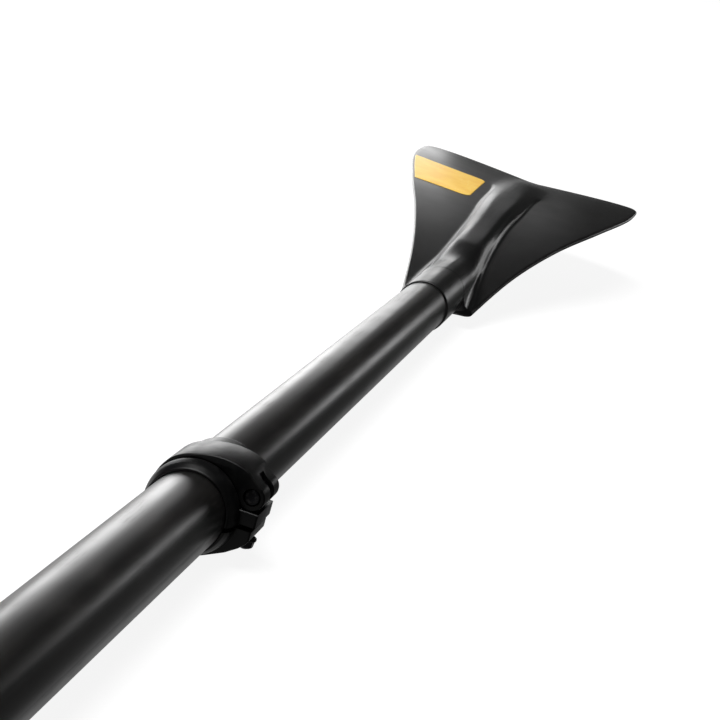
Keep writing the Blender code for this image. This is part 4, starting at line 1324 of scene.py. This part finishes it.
@dataclass
class Tubes(Assembly):
    """Lower and middle tubes, the ferrule that joins them, and what is in them."""

    end_round: float = 0.0004
    slot_width: float = 0.0016
    slot_length: float = 0.0340
    ferrule_wall: float = 0.0015
    ferrule_fixed: float = 0.0700
    ferrule_reach: float = 0.0750
    ring_section: float = 0.0005
    ring_facets: int = 16
    groove_depth: float = 0.0012
    groove_width: float = 0.0020
    ring_setback: float = 0.0100
    key_height: float = 0.0010
    plug_length: float = 0.0600
    ferrule_plug_length: float = 0.0250
    ferrule_plug_setback: float = 0.0010
    plug_setback: float = 0.0080
    plug_chamfer: float = 0.0010
    plug_round: float = 0.0005

    @property
    def sleeve_radius(self) -> float:
        """Outside radius of the ferrule."""
        return self.shaft.bore - self.shaft.gap

    @property
    def sleeve_back(self) -> float:
        """Station of the ferrule's free end."""
        return self.shaft.joint - self.ferrule_reach

    def lower_tube(self) -> bpy.types.Mesh:
        """Build the tube between the blade's neck and the joint.

        Returns:
            The mesh in shaft coordinates.
        """
        shaft = self.shaft
        end, swage, taper = shaft.socket_depth - shaft.gap, shaft.swage_radius, shaft.swage_taper
        profile = [
            (swage - shaft.wall, end), (swage, end), (swage, 0.0), (shaft.radius, -taper),
            (shaft.radius, shaft.joint), (shaft.bore, shaft.joint), (shaft.bore, -taper * 2),
            (swage - shaft.wall, -taper),
        ]
        return Forms.turned("lower_shaft", profile, sides=128, ease=self.end_round)

    def middle_tube(self) -> bpy.types.Mesh:
        """Build the middle tube with the slots under its clamps.

        Returns:
            The mesh in shaft coordinates.
        """
        shaft, half = self.shaft, self.slot_width / 2
        profile = Forms.ring(shaft.bore, shaft.radius, shaft.mid_back, shaft.mid_front)
        tube = Forms.turned("mid_shaft", profile, sides=128, ease=self.end_round)
        cuts = []
        for end in (shaft.mid_back, shaft.mid_front):
            low = (end - self.slot_length, -2 * shaft.radius, -half)
            cuts.append((CUT, Forms.block("slot", low, (end + self.slot_length, 0.0, half))))
        return Forms.carved("mid_shaft", tube, *cuts)

    def ferrule(self) -> bpy.types.Mesh:
        """Build the inner sleeve with its groove and alignment rib.

        Returns:
            The mesh in shaft coordinates.
        """
        shaft, radius, low = self.shaft, self.sleeve_radius, self.sleeve_back
        bore, floor, high = radius - self.ferrule_wall, radius - self.groove_depth, shaft.joint + self.ferrule_fixed
        groove, half = low + self.ring_setback, self.groove_width / 2
        profile = [
            (bore, high), (radius, high), (radius, groove + half), (floor, groove + half),
            (floor, groove - half), (radius, groove - half), (radius, low), (bore, low),
        ]
        sleeve = Forms.turned("joint_ferrule", profile, sides=128, ease=self.end_round)
        middle, reach = shaft.mid_front - self.slot_length / 2, self.slot_length / 2 - 2 * shaft.gap
        half = self.slot_width / 2 - shaft.gap
        low_corner = (middle - reach, -radius - self.key_height, -half)
        key = Forms.block("key", low_corner, (middle + reach, -radius + self.ferrule_wall / 2, half))
        return Forms.carved("joint_ferrule", sleeve, (JOIN, key))

    def seal(self, name: str, groove_radius: float, station: float) -> bpy.types.Mesh:
        """Build a rubber ring.

        Args:
            name: name of the mesh.
            groove_radius: radius of the groove's floor.
            station: station of the groove.

        Returns:
            The mesh in shaft coordinates.
        """
        centre, section = groove_radius + self.shaft.gap + self.ring_section, self.ring_section
        angles = [2 * math.pi * index / self.ring_facets for index in range(self.ring_facets)]
        profile = [(centre + section * math.cos(a), station + section * math.sin(a)) for a in angles]
        return Forms.turned(name, profile)

    def plug(self, name: str, radius: float, low: float, length: float) -> bpy.types.Mesh:
        """Foam plug that starts at a station."""
        profile = Forms.rod(radius, low, low + length, self.plug_chamfer)
        return Forms.turned(name, profile, closed=False, ease=self.plug_round)

    def build(self) -> None:
        """Build and dress the lower and middle tubes and what is in them."""
        shaft, low = self.shaft, self.sleeve_back
        self.show("lower_shaft", self.lower_tube(), Body.LOWER, TUBE_FINISH)
        self.show("mid_shaft", self.middle_tube(), Body.MID, TUBE_FINISH)
        self.show("joint_ferrule", self.ferrule(), Body.LOWER, FERRULE_FINISH)
        ring = self.seal("joint_seal_ring", self.sleeve_radius - self.groove_depth, low + self.ring_setback)
        self.show("joint_seal_ring", ring, Body.LOWER, SEAL_FINISH)
        radius, start = self.sleeve_radius - self.ferrule_wall - shaft.gap, low + self.ferrule_plug_setback
        plug = self.plug("ferrule_plug", radius, start, self.ferrule_plug_length)
        self.show("ferrule_plug", plug, Body.LOWER, FOAM_FINISH)
        radius = shaft.swage_radius - shaft.wall - shaft.gap
        start = shaft.socket_depth - self.plug_setback - self.plug_length
        plug = self.plug("lower_float_plug", radius, start, self.plug_length)
        self.show("lower_float_plug", plug, Body.LOWER, FOAM_FINISH)


@dataclass
class Clamp(Assembly):
    """Lever clamp: split collar, lever, pivot barrel, bolt, washer and nut."""

    prefix: str = "lower_clamp"
    station: float = 0.0
    lip_side: int = 1
    lip_bore: float = 0.0153
    lever_body: Body = Body.LOWER_LEVER
    collar_wall: float = 0.0017
    end_wall: float = 0.0007
    rib_height: float = 0.0011
    rib_setback: float = 0.0082
    collar_round: float = 0.0010
    collar_ease: float = 0.0009
    block_length: float = 0.0210
    block_setback: float = 0.0090
    block_round: float = 0.0008
    foot_depth: float = 0.0185
    foot_near: float = 0.0065
    foot_far: float = 0.0090
    web_bend: float = 0.0095
    split_gap: float = 0.0020
    split_level: float = -0.0020
    ear_reach: float = 0.0244
    ear_top: float = 0.0043
    ear_depth: float = 0.0085
    bolt_offset: float = 0.0202
    bolt_radius: float = 0.0019
    bolt_chamfer: float = 0.0004
    thread_depth: float = 0.00022
    thread_pitch: float = 0.0007
    thread_steps: int = 6
    washer_radius: float = 0.0040
    washer_thickness: float = 0.0008
    washer_round: float = 0.0002
    nut_radius: float = 0.0037
    nut_height: float = 0.0028
    nut_round: float = 0.0003
    barrel_radius: float = 0.0031
    barrel_chamfer: float = 0.0004
    barrel_round: float = 0.0002
    lever_width: float = 0.0200
    head_radius: float = 0.0050
    cam_throw: float = 0.0002
    tail_thickness: float = 0.0019
    head_rise: float = 0.0090
    head_start: float = 205.0
    head_end: float = 434.0
    head_steps: int = 40
    throat_angle: float = 12.0
    back_angle: float = 47.0
    swell_end: float = 105.0
    swell_span: float = 75.0
    swell_power: float = 1.6
    tail_thinning: float = 0.0009
    thinning_start: float = 122.0
    thinning_end: float = 168.0
    tip_angle: float = 170.0
    tip_taper: float = 3.0
    tail_steps: int = 72
    slot_reach: float = 0.0085
    slot_steps: int = 24
    open_angle: float = 150.0
    lever_round: float = 0.0006

    @property
    def bore(self) -> float:
        """Bore radius of the collar."""
        return self.shaft.radius + self.shaft.gap

    @property
    def collar_radius(self) -> float:
        """Outside radius of the collar."""
        return self.bore + self.collar_wall

    @property
    def bolt_room(self) -> float:
        """Radius of a hole that the bolt passes through freely."""
        return self.bolt_radius + self.shaft.gap

    @property
    def bolt_spot(self) -> Triple:
        """Point on the bolt's axis, level with the shaft's."""
        setback = self.block_setback + self.block_length / 2 - self.shaft.clamp_length / 2
        return self.station + self.lip_side * setback, -self.bolt_offset, 0.0

    @property
    def pivot(self) -> Triple:
        """Point on the lever's axis."""
        return *self.bolt_spot[:2], self.ear_top + self.shaft.gap + self.head_radius + self.cam_throw

    def sleeve(self) -> list[Pair]:
        """Ring profile of the collar's sleeve.

        Returns:
            (radius, station) points, with a rib near the end away from the lip.
        """
        half, rim, core = self.shaft.clamp_length / 2, self.collar_radius, self.bore - self.collar_wall
        rib, back, soft = rim + self.rib_height, self.rib_setback, self.collar_round
        points = [
            (core, half), (rim - soft, half), (rim - soft * 0.3, half - soft * 0.3), (rim, half - soft),
            (rim, -half + (self.block_setback + back) / 2), (rib, -half + back), (rib, -half + back * 0.75),
            (rim + self.rib_height * 0.4, -half + back * 0.35),
            (self.bore + self.end_wall * 1.6, -half + back * 0.1), (self.bore + self.end_wall, -half), (core, -half),
        ]
        eased = Forms.eased_corners(points, self.collar_ease, True)
        return [(radius, self.station + self.lip_side * along) for radius, along in eased]

    def block_outline(self) -> list[Pair]:
        """Outside of the ears, web and foot.

        Returns:
            (across, up) points.
        """
        web, ear, foot = self.bolt_offset - self.washer_radius - self.shaft.gap, self.ear_reach, self.foot_depth
        points = [
            (ear, self.ear_top), (self.bore / 2, self.ear_top), (-self.foot_far, -self.bore / 2),
            (-self.foot_far, -foot), (self.foot_near, -foot), (self.web_bend, -foot * 0.92), (web, -foot * 0.74),
            (self.bolt_offset, -self.ear_depth * 1.24), (ear * 0.925, -self.ear_depth * 0.97),
            (ear * 0.965, -self.ear_depth * 0.75), (ear * 0.965, self.split_level), (ear, self.split_level),
        ]
        return [(-across, up) for across, up in points]

    def collar(self) -> bpy.types.Mesh:
        """Build the split collar.

        Returns:
            The mesh in shaft coordinates.
        """
        reach, half_gap, lip = self.shaft.clamp_length, self.split_gap / 2, self.lip_side
        block = Forms.slab("ears", self.block_outline(), self.bolt_spot[0], self.block_length, self.block_round)
        wall = [(self.bore, -lip * reach), (self.bore, lip * reach)]
        if self.lip_bore < self.bore:
            step = lip * (self.shaft.clamp_length / 2 - self.shaft.clamp_lip)
            wall = [wall[0], (self.bore, step), (self.lip_bore, step), (self.lip_bore, lip * reach)]
        low = (self.station - reach, -self.ear_reach * 1.45, self.split_level - half_gap)
        high = (self.station + reach, -self.ear_reach * 0.45, self.split_level + half_gap)
        narrow, wide = self.bolt_room, self.washer_radius + 2 * self.shaft.gap
        steps = [(narrow, self.ear_reach), (narrow, -self.ear_depth), (wide, -self.ear_depth), (wide, -self.foot_depth)]
        return Forms.carved(
            self.prefix + "_collar",
            Forms.turned("sleeve", self.sleeve(), sides=112),
            (JOIN, block),
            Forms.drill(Axis.SHAFT, (self.station, 0.0, 0.0), 120, *wall),
            (CUT, Forms.block("split", low, high)),
            Forms.drill(Axis.UP, self.bolt_spot, 48, *steps),
        )

    def lever_outline(self) -> list[Pair]:
        """Outside of the closed lever round the shaft.

        Returns:
            (across, up) points.
        """
        inner = self.collar_radius + self.shaft.gap
        outer = inner + self.tail_thickness
        points = []
        for share in shares(self.head_steps):
            angle = math.radians(self.head_start + (self.head_end - self.head_start) * share)
            across = self.bolt_offset + self.head_radius * math.cos(angle)
            points.append((across, self.pivot[2] - self.cam_throw + self.head_radius * math.sin(angle)))
        throat = math.degrees(math.atan2(points[0][1], points[0][0])) + self.throat_angle
        tip, inner_tip = self.tip_angle - self.tip_taper, self.tip_angle - self.tip_taper / 2
        polar = []
        for share in shares(self.tail_steps):
            angle = self.back_angle + (tip - self.back_angle) * share
            swell = max((self.swell_end - angle) / self.swell_span, 0.0) ** self.swell_power
            thinning = self.tail_thinning * Blade.step(angle, self.thinning_start, self.thinning_end)
            polar.append((outer + self.head_rise * swell - thinning, angle))
        polar.append(((inner + outer - self.tail_thinning) / 2, self.tip_angle))
        polar += [(inner, inner_tip + (throat - inner_tip) * share) for share in shares(self.tail_steps)]
        points += [(reach * math.cos(math.radians(a)), reach * math.sin(math.radians(a))) for reach, a in polar]
        return [(-across, up) for across, up in points]

    def lever(self) -> bpy.types.Mesh:
        """Build the lever with its pivot bore and the slot for the bolt.

        Returns:
            The mesh in shaft coordinates.
        """
        station, across, up = self.pivot
        width, room = self.lever_width, self.barrel_radius + self.shaft.gap
        body = Forms.slab("lever", self.lever_outline(), station, width, self.lever_round)
        margin = math.degrees(math.asin(self.bolt_room / room))
        sector = [(across, up)]
        for share in shares(self.slot_steps):
            angle = math.radians((self.open_angle + 2 * margin) * share - 90.0 - margin)
            sector.append((across - self.slot_reach * math.cos(angle), up + self.slot_reach * math.sin(angle)))
        slot = Forms.slab("bolt_slot", sector, station, (self.bolt_room + self.shaft.gap) * 2)
        bore = Forms.drill(Axis.SHAFT, (0.0, across, up), 48, (room, station + width), (room, station - width))
        return Forms.carved(self.prefix + "_lever", body, bore, (CUT, slot))

    def barrel(self) -> bpy.types.Mesh:
        """Build the cross barrel that the lever turns on.

        Returns:
            The mesh in shaft coordinates.
        """
        half, top = self.lever_width / 2 - self.shaft.gap, self.pivot[2] + self.barrel_radius / 2
        profile = Forms.rod(self.barrel_radius, -half, half, self.barrel_chamfer)
        rod = Forms.turned("rod", profile, centre=self.pivot, sides=64, closed=False, ease=self.barrel_round)
        hole = Forms.drill(Axis.UP, self.bolt_spot, 40, (self.bolt_room, top), (self.bolt_room, 0.0))
        return Forms.carved(self.prefix + "_barrel", rod, hole)

    def thread(self, angle: float, radius: float, along: float) -> float:
        """Radius of a threaded rod.

        Args:
            angle: angle round the rod.
            radius: crest radius.
            along: distance along the rod.

        Returns:
            The radius with the thread's groove taken off.
        """
        turns = along / self.thread_pitch - angle / (2 * math.pi)
        groove = 1 - 2 * abs(turns - math.floor(turns) - 0.5)
        return radius - self.thread_depth * groove

    def hexagon(self, angle: float, radius: float, along: float) -> float:
        """Radius of a six-sided nut whose corners are just eased.

        Args:
            angle: angle round the nut.
            radius: corner radius at this height.
            along: distance along the nut, which isn't used.

        Returns:
            The radius at this angle.
        """
        turn = (angle % (math.pi / 3)) - math.pi / 6
        return min(radius, self.nut_radius * math.cos(math.pi / 6) / math.cos(turn))

    def fasteners(self) -> dict[str, bpy.types.Mesh]:
        """Build the bolt, the washer and the nut.

        Returns:
            A mesh for each suffix of a node's name.
        """
        gap, room, soft = self.shaft.gap, self.bolt_room, self.bolt_chamfer
        washer_top = -self.ear_depth - gap
        washer_low = washer_top - self.washer_thickness
        high, low = washer_low - gap, washer_low - gap - self.nut_height
        top, tail = self.pivot[2] + self.barrel_radius / 2, low - self.bolt_radius / 3
        length = top - tail - 2 * soft
        steps = int(length / self.thread_pitch * self.thread_steps)
        rod = [(self.bolt_radius, top - soft - length * n / steps) for n in range(steps + 1)]
        rod = [(0.0, top), (self.bolt_radius - soft, top), *rod, (self.bolt_radius - soft, tail), (0.0, tail)]
        ring = Forms.ring(room, self.washer_radius, washer_low, washer_top)
        rim, dome = self.nut_radius, self.nut_height / 2
        cap = [
            (room, high), (rim - gap, high), (rim, high - gap), (rim, low + dome),
            (rim - dome * 0.25, low + dome * 0.40), (rim - dome * 0.75, low), (room, low),
        ]
        place = (Axis.UP, self.bolt_spot)
        return {
            "_bolt": Forms.turned("bolt", rod, *place, sides=28, closed=False, reshape=self.thread),
            "_washer": Forms.turned("washer", ring, *place, sides=64, ease=self.washer_round),
            "_nut": Forms.turned("nut", cap, *place, sides=72, ease=self.nut_round, reshape=self.hexagon),
        }

    def build(self) -> None:
        """Build and dress the clamp."""
        self.show(self.prefix + "_collar", self.collar(), Body.MID, CLAMP_FINISH)
        self.show(self.prefix + "_lever", self.lever(), self.lever_body, CLAMP_FINISH)
        # The barrel, bolt, washer and nut take the hardware steel darkened as painted shade
        for suffix, mesh in {"_barrel": self.barrel(), **self.fasteners()}.items():
            self.show(self.prefix + suffix, mesh, Body.MID, SHADE_DARKENED_CLAMP_STEEL_FINISH)


@dataclass
class Handle(Assembly):
    """Handle tube with its slider, sealing ring and float plug."""

    tubes: Tubes = field(default_factory=Tubes)
    flange_length: float = 0.0140
    flange_chamfer: float = 0.0010
    stem_length: float = 0.0250
    slider_round: float = 0.0003

    @property
    def flange_start(self) -> float:
        """Station where the slider's flange meets the tube."""
        return self.shaft.handle_front + self.shaft.gap

    def tube(self) -> bpy.types.Mesh:
        """Build the handle tube with the hole for the grip's screw.

        Returns:
            The mesh in shaft coordinates.
        """
        shaft, room = self.shaft, self.shaft.screw_radius + self.shaft.gap
        profile = Forms.ring(shaft.handle_bore, shaft.handle_radius, shaft.handle_back, shaft.handle_front)
        tube = Forms.turned("handle_shaft", profile, sides=120, ease=self.tubes.end_round)
        hole = Forms.drill(Axis.UP, shaft.screw_spot, 32, (room, 0.0), (room, -2 * shaft.radius))
        return Forms.carved("handle_shaft", tube, hole)

    def slider(self) -> bpy.types.Mesh:
        """Build the plug that guides the tube's inner end.

        Returns:
            The mesh in shaft coordinates.
        """
        shaft, half, soft = self.shaft, self.tubes.groove_width / 2, self.flange_chamfer
        flange, stem = shaft.bore - shaft.gap, shaft.handle_bore - shaft.gap
        start, end = self.flange_start, self.flange_start + self.flange_length
        middle, floor = (start + end) / 2, flange - self.tubes.groove_depth
        profile = [
            (0.0, end), (flange - soft, end), (flange, end - soft), (flange, middle + half), (floor, middle + half),
            (floor, middle - half), (flange, middle - half), (flange, start), (stem, start),
            (stem, start - self.stem_length), (0.0, start - self.stem_length),
        ]
        return Forms.turned("handle_slider", profile, closed=False, ease=self.slider_round)

    def build(self) -> None:
        """Build and dress the handle tube and what is on and in it."""
        shaft, tubes = self.shaft, self.tubes
        self.show("handle_shaft", self.tube(), Body.HANDLE, TUBE_FINISH)
        self.show("handle_slider", self.slider(), Body.HANDLE, GRIP_FINISH)
        groove, middle = shaft.bore - shaft.gap - tubes.groove_depth, self.flange_start + self.flange_length / 2
        self.show("slider_ring", tubes.seal("slider_ring", groove, middle), Body.RING, SEAL_FINISH)
        radius, low = shaft.handle_bore - shaft.gap, shaft.grip_mouth + tubes.plug_setback
        plug = tubes.plug("handle_float_plug", radius, low, tubes.plug_length)
        self.show("handle_float_plug", plug, Body.HANDLE, FOAM_FINISH)


@dataclass
class Grip(Assembly):
    """T-shaped palm grip with the screw that holds it."""

    stem_radius: float = 0.0166
    length: float = 0.0700
    half_width: float = 0.0520
    bar_depth: float = 0.0150
    bar_height: float = 0.0125
    bar_waist: float = 0.10
    bar_steps: int = 72
    head_radius: float = 0.0030
    head_height: float = 0.0012
    screw_length: float = 0.0070
    screw_round: float = 0.0002
    tip_chamfer: float = 0.0010
    recess_half: float = 0.0005
    recess_reach: float = 0.00165
    recess_depth: float = 0.0007
    rim: float = 0.0012
    mouth_chamfer: float = 0.0005
    flare: float = 0.0125
    flare_start: float = 0.42
    narrow_end: float = 0.85
    stem_swell: float = 0.0002
    bar_tuck: float = 0.0004
    stem_sides: int = 96
    stem_steps: int = 32

    @property
    def bar_station(self) -> float:
        """Station of the bar's middle."""
        return self.shaft.grip_mouth - self.length + self.bar_depth

    @property
    def head_level(self) -> float:
        """Height of the seat under the screw's head."""
        return -self.stem_radius + self.head_height + self.shaft.gap

    def bar(self) -> bpy.types.Mesh:
        """Build the bar that the palm rests on.

        Returns:
            The mesh in shaft coordinates.
        """
        profile = []
        for part in shares(self.bar_steps):
            angle = math.pi * (0.5 - part)
            share = abs(math.sin(angle))
            radius = self.bar_height * (1.0 - self.bar_waist * share ** 2) * max(1 - share ** 5, 0.0) ** 0.5
            profile.append((0.0 if part in (0.0, 1.0) else radius, self.half_width * math.sin(angle)))
        stretch = self.bar_depth / self.bar_height

        def oval(angle: float, radius: float, along: float) -> float:
            """Radius of the bar's oval section."""
            return radius * stretch / math.hypot(math.cos(angle), stretch * math.sin(angle))

        centre = (self.bar_station, 0.0, 0.0)
        return Forms.turned("t_grip_bar", profile, Axis.ACROSS, centre, sides=80, closed=False, reshape=oval)

    def stem_sizes(self) -> list[Triple]:
        """Rings of the stem, from the blind end of its bore round the mouth to the bar.

        Returns:
            (half-width, half-height, station) of each ring.
        """
        mouth, bore, radius = self.shaft.grip_mouth, self.shaft.handle_radius + self.shaft.gap, self.stem_radius
        wide = bore + self.mouth_chamfer
        sizes = [(bore, bore, mouth - self.shaft.grip_socket), (bore, bore, mouth - self.rim), (wide, wide, mouth)]
        sizes += [(reach, reach, mouth - depth) for reach, depth in Forms.rim(radius, self.rim)]
        start = mouth - self.shaft.screw_setback * 1.4
        for share in shares(self.stem_steps)[1:]:
            up = radius + (self.bar_height - self.bar_tuck - radius) * Blade.step(share, 0.0, self.narrow_end)
            spread = max(share - self.flare_start, 0.0) / (1 - self.flare_start)
            across = radius + self.stem_swell * share + self.flare * (1 - math.sqrt(max(1 - spread ** 2, 0.0)))
            sizes.append((across, up, start + (self.bar_station - start) * share))
        return sizes

    def stem(self) -> bpy.types.Mesh:
        """Build the stem, which flares out into the bar.

        Returns:
            The mesh in shaft coordinates.
        """
        angles = [2 * math.pi * index / self.stem_sides for index in range(self.stem_sides)]
        rings = [[(s, w * math.cos(a), h * math.sin(a)) for a in angles] for w, h, s in self.stem_sizes()]
        work = bmesh.new()
        corners = Forms.skin(work, rings)
        for ring in (corners[0], corners[-1]):
            work.faces.new(ring)
        return Forms.close(work, "t_grip_stem")

    def grip(self) -> bpy.types.Mesh:
        """Join the stem and the bar and sink the hole for the screw.

        Returns:
            The mesh in shaft coordinates.
        """
        gap, low = self.shaft.gap, -self.stem_radius * 1.3
        shank, head, seat = self.shaft.screw_radius + gap, self.head_radius + gap, self.head_level + gap
        hole = Forms.drill(Axis.UP, self.shaft.screw_spot, 40, (shank, 0.0), (shank, seat), (head, seat), (head, low))
        return Forms.carved("t_grip", self.stem(), (JOIN, self.bar()), hole)

    def screw(self) -> bpy.types.Mesh:
        """Build the screw with a cross recess in its head.

        Returns:
            The mesh in shaft coordinates.
        """
        spot, shank, head, top = self.shaft.screw_spot, self.shaft.screw_radius, self.head_radius, self.head_level
        low, tip = top - self.head_height, top - self.head_height + self.screw_length
        profile = [
            (0.0, tip), (shank * 0.5, tip), (shank, tip - self.tip_chamfer), (shank, top), (head, top),
            (head, top - self.head_height * 0.5), (head * 0.72, low + 0.0001), (0.0, low),
        ]
        body = Forms.turned("screw", profile, Axis.UP, spot, sides=64, closed=False, ease=self.screw_round)
        cuts = []
        for across, along in ((self.recess_reach, self.recess_half), (self.recess_half, self.recess_reach)):
            corner = (spot[0] + along, across, low + self.recess_depth)
            cuts.append((CUT, Forms.block("recess", (spot[0] - along, -across, low - 0.001), corner)))
        return Forms.carved("grip_screw", body, *cuts)

    def build(self) -> None:
        """Build and dress the grip and its screw."""
        self.show("t_grip", self.grip(), Body.HANDLE, GRIP_FINISH)
        self.show("grip_screw", self.screw(), Body.HANDLE, STEEL_FINISH)


@dataclass
class Lamp:
    """Soft rectangular lamp that faces a point."""

    name: str
    place: Triple
    target: Triple
    width: float
    height: float
    power: float
    roll: float = 0.0

    def build(self) -> None:
        """Make the lamp and turn it to its target."""
        data = bpy.data.lights.new(self.name, "AREA")
        data.shape = "RECTANGLE"
        data.size, data.size_y, data.energy = self.width, self.height, self.power
        lamp = Forms.linked(self.name, data)
        lamp.location = self.place
        aim = (Vector(self.target) - Vector(self.place)).to_track_quat("-Z", "Y")
        lamp.rotation_euler = (aim @ Quaternion((0.0, 0.0, 1.0), self.roll)).to_euler()
        lamp.visible_camera = False


@dataclass
class Studio:
    """Camera at the photograph's viewing angle, pale floor, soft lamps and a pale surround."""

    lens: float = 87.5
    sensor: float = 36.0
    clip: Pair = (0.01, 100.0)
    eye: Triple = (-0.6279, -0.1394, 0.2441)
    right: Triple = (0.2229, -0.9366, 0.2703)
    upright: Triple = (0.1929, 0.3142, 0.9296)
    forward: Triple = (0.9556, 0.1550, -0.2507)
    floor_half: float = 30.0
    floor_drop: float = 0.0002
    floor_tone: float = 0.80
    floor_bounce: float = 0.065
    floor_glow: float = 1.12
    glow_share: float = 0.80
    glow_side: Pair = (0.02, 0.10)
    right_side: Pair = (-0.042, -0.020)
    right_share: float = 0.38
    near_radius: float = 1.0
    far_radius: float = 3.0
    horizon: Pair = (0.02, 0.16)
    surround: Pair = (0.10, 0.03)
    lamps: tuple[Lamp, ...] = (
        Lamp("key_softbox", (-0.5, 0.8, 2.3), (0.3, 0.0, 0.0), 1.8, 1.8, 97.0),
        Lamp("left_panel", (1.40, 0.55, 0.20), (0.40, 0.55, 0.20), 0.80, 0.40, 2.5),
        Lamp("middle_panel", (1.40, 0.10, 0.32), (0.40, 0.10, 0.32), 0.16, 0.28, 0.036),
        Lamp("far_left_panel", (1.38, 0.71, 0.20), (0.40, 0.71, 0.20), 0.58, 0.40, 1.7),
        Lamp("right_strip", (1.40, -0.45, 0.232), (0.40, -0.45, 0.232), 0.44, 0.13, 0.40, -0.43),
    )

    def camera(self) -> None:
        """Make the camera."""
        data = bpy.data.cameras.new("photo_camera")
        data.lens, data.sensor_width = self.lens, self.sensor
        data.clip_start, data.clip_end = self.clip
        camera = Forms.linked("photo_camera", data)
        axes = (Vector(self.right), Vector(self.upright), -Vector(self.forward))
        turn = Matrix([axis.normalized() for axis in axes]).transposed().to_4x4()
        camera.matrix_world = Matrix.Translation(self.eye) @ turn
        bpy.context.scene.camera = camera

    def floor(self) -> None:
        """Make the pale floor, which looks white and keeps a faint shadow."""
        work = bmesh.new()
        bmesh.ops.create_grid(work, x_segments=8, y_segments=8, size=self.floor_half)
        item = Forms.linked("floor", Forms.close(work, "floor"))
        item.location = (0.0, 0.0, -self.floor_drop)
        material = bpy.data.materials.new("pale_floor")
        material.use_nodes = True
        item.data.materials.append(material)
        graph = Graph(material.node_tree)
        tones = ((tone, tone, tone, 1.0) for tone in (self.floor_tone, self.floor_bounce))
        pale, dim = (graph.node("BsdfDiffuse", {"Color": colour}) for colour in tones)
        glow, sheet = (graph.node("Emission", {"Color": WHITE, "Strength": power}) for power in (self.floor_glow, 1.0))
        reach = graph.node("VectorMath", {0: graph.place()}, operation="LENGTH").output("Value")
        share = reach.eased(self.near_radius, self.far_radius, self.glow_share, 1.0)
        shown = graph.node("MixShader", {0: share, 1: pale, 2: glow})
        across = graph.node("SeparateXYZ", {"Vector": graph.place()}).output("Y")
        lit = across.eased(*self.glow_side).larger(across.eased(*self.right_side, 0.0, self.right_share))
        paths = graph.node("LightPath")
        mirrored = graph.node("MixShader", {0: paths.output("Is Glossy Ray") * lit, 1: dim, 2: sheet})
        mixed = graph.node("MixShader", {0: paths.output("Is Camera Ray"), 1: mirrored, 2: shown})
        graph.node("OutputMaterial", {"Surface": mixed})

    def sky(self) -> None:
        """Make the surround: white to the eye, and dim with a lighter horizon to the pieces."""
        world = bpy.data.worlds.new("studio")
        world.use_nodes = True
        bpy.context.scene.world = world
        graph = Graph(world.node_tree)
        way = graph.node("TexCoord").output("Generated")
        band = graph.node("SeparateXYZ", {"Vector": way}).output("Z").eased(*self.horizon, *self.surround)
        strength = band.larger(graph.node("LightPath").output("Is Camera Ray"))
        shade = graph.node("Background", {"Color": WHITE, "Strength": strength})
        graph.node("OutputWorld", {"Surface": shade})

    def build(self) -> None:
        """Build the whole studio."""
        self.camera()
        self.floor()
        self.sky()
        for lamp in self.lamps:
            lamp.build()
        bpy.context.scene.view_settings.view_transform = "Standard"
        LOG.info("studio: camera, floor, surround and lamps")


def main() -> None:
    """Build the studio and every piece."""
    logging.basicConfig(level=logging.INFO, format="%(name)s: %(message)s")
    shaft = Shaft()
    blade, tubes = Blade(shaft), Tubes(shaft)
    lower = shaft.joint + shaft.clamp_lip - shaft.clamp_length / 2
    upper = shaft.upper_clamp_back + shaft.clamp_length / 2
    Studio().build()
    blade.build()
    Label(shaft, blade).build()
    tubes.build()
    Clamp(shaft, "lower_clamp", lower, 1, shaft.radius + shaft.gap, Body.LOWER_LEVER).build()
    Clamp(shaft, "upper_clamp", upper, -1, shaft.handle_radius + shaft.gap, Body.UPPER_LEVER).build()
    Handle(shaft, tubes).build()
    Grip(shaft).build()


if __name__ == "__main__":
    main()
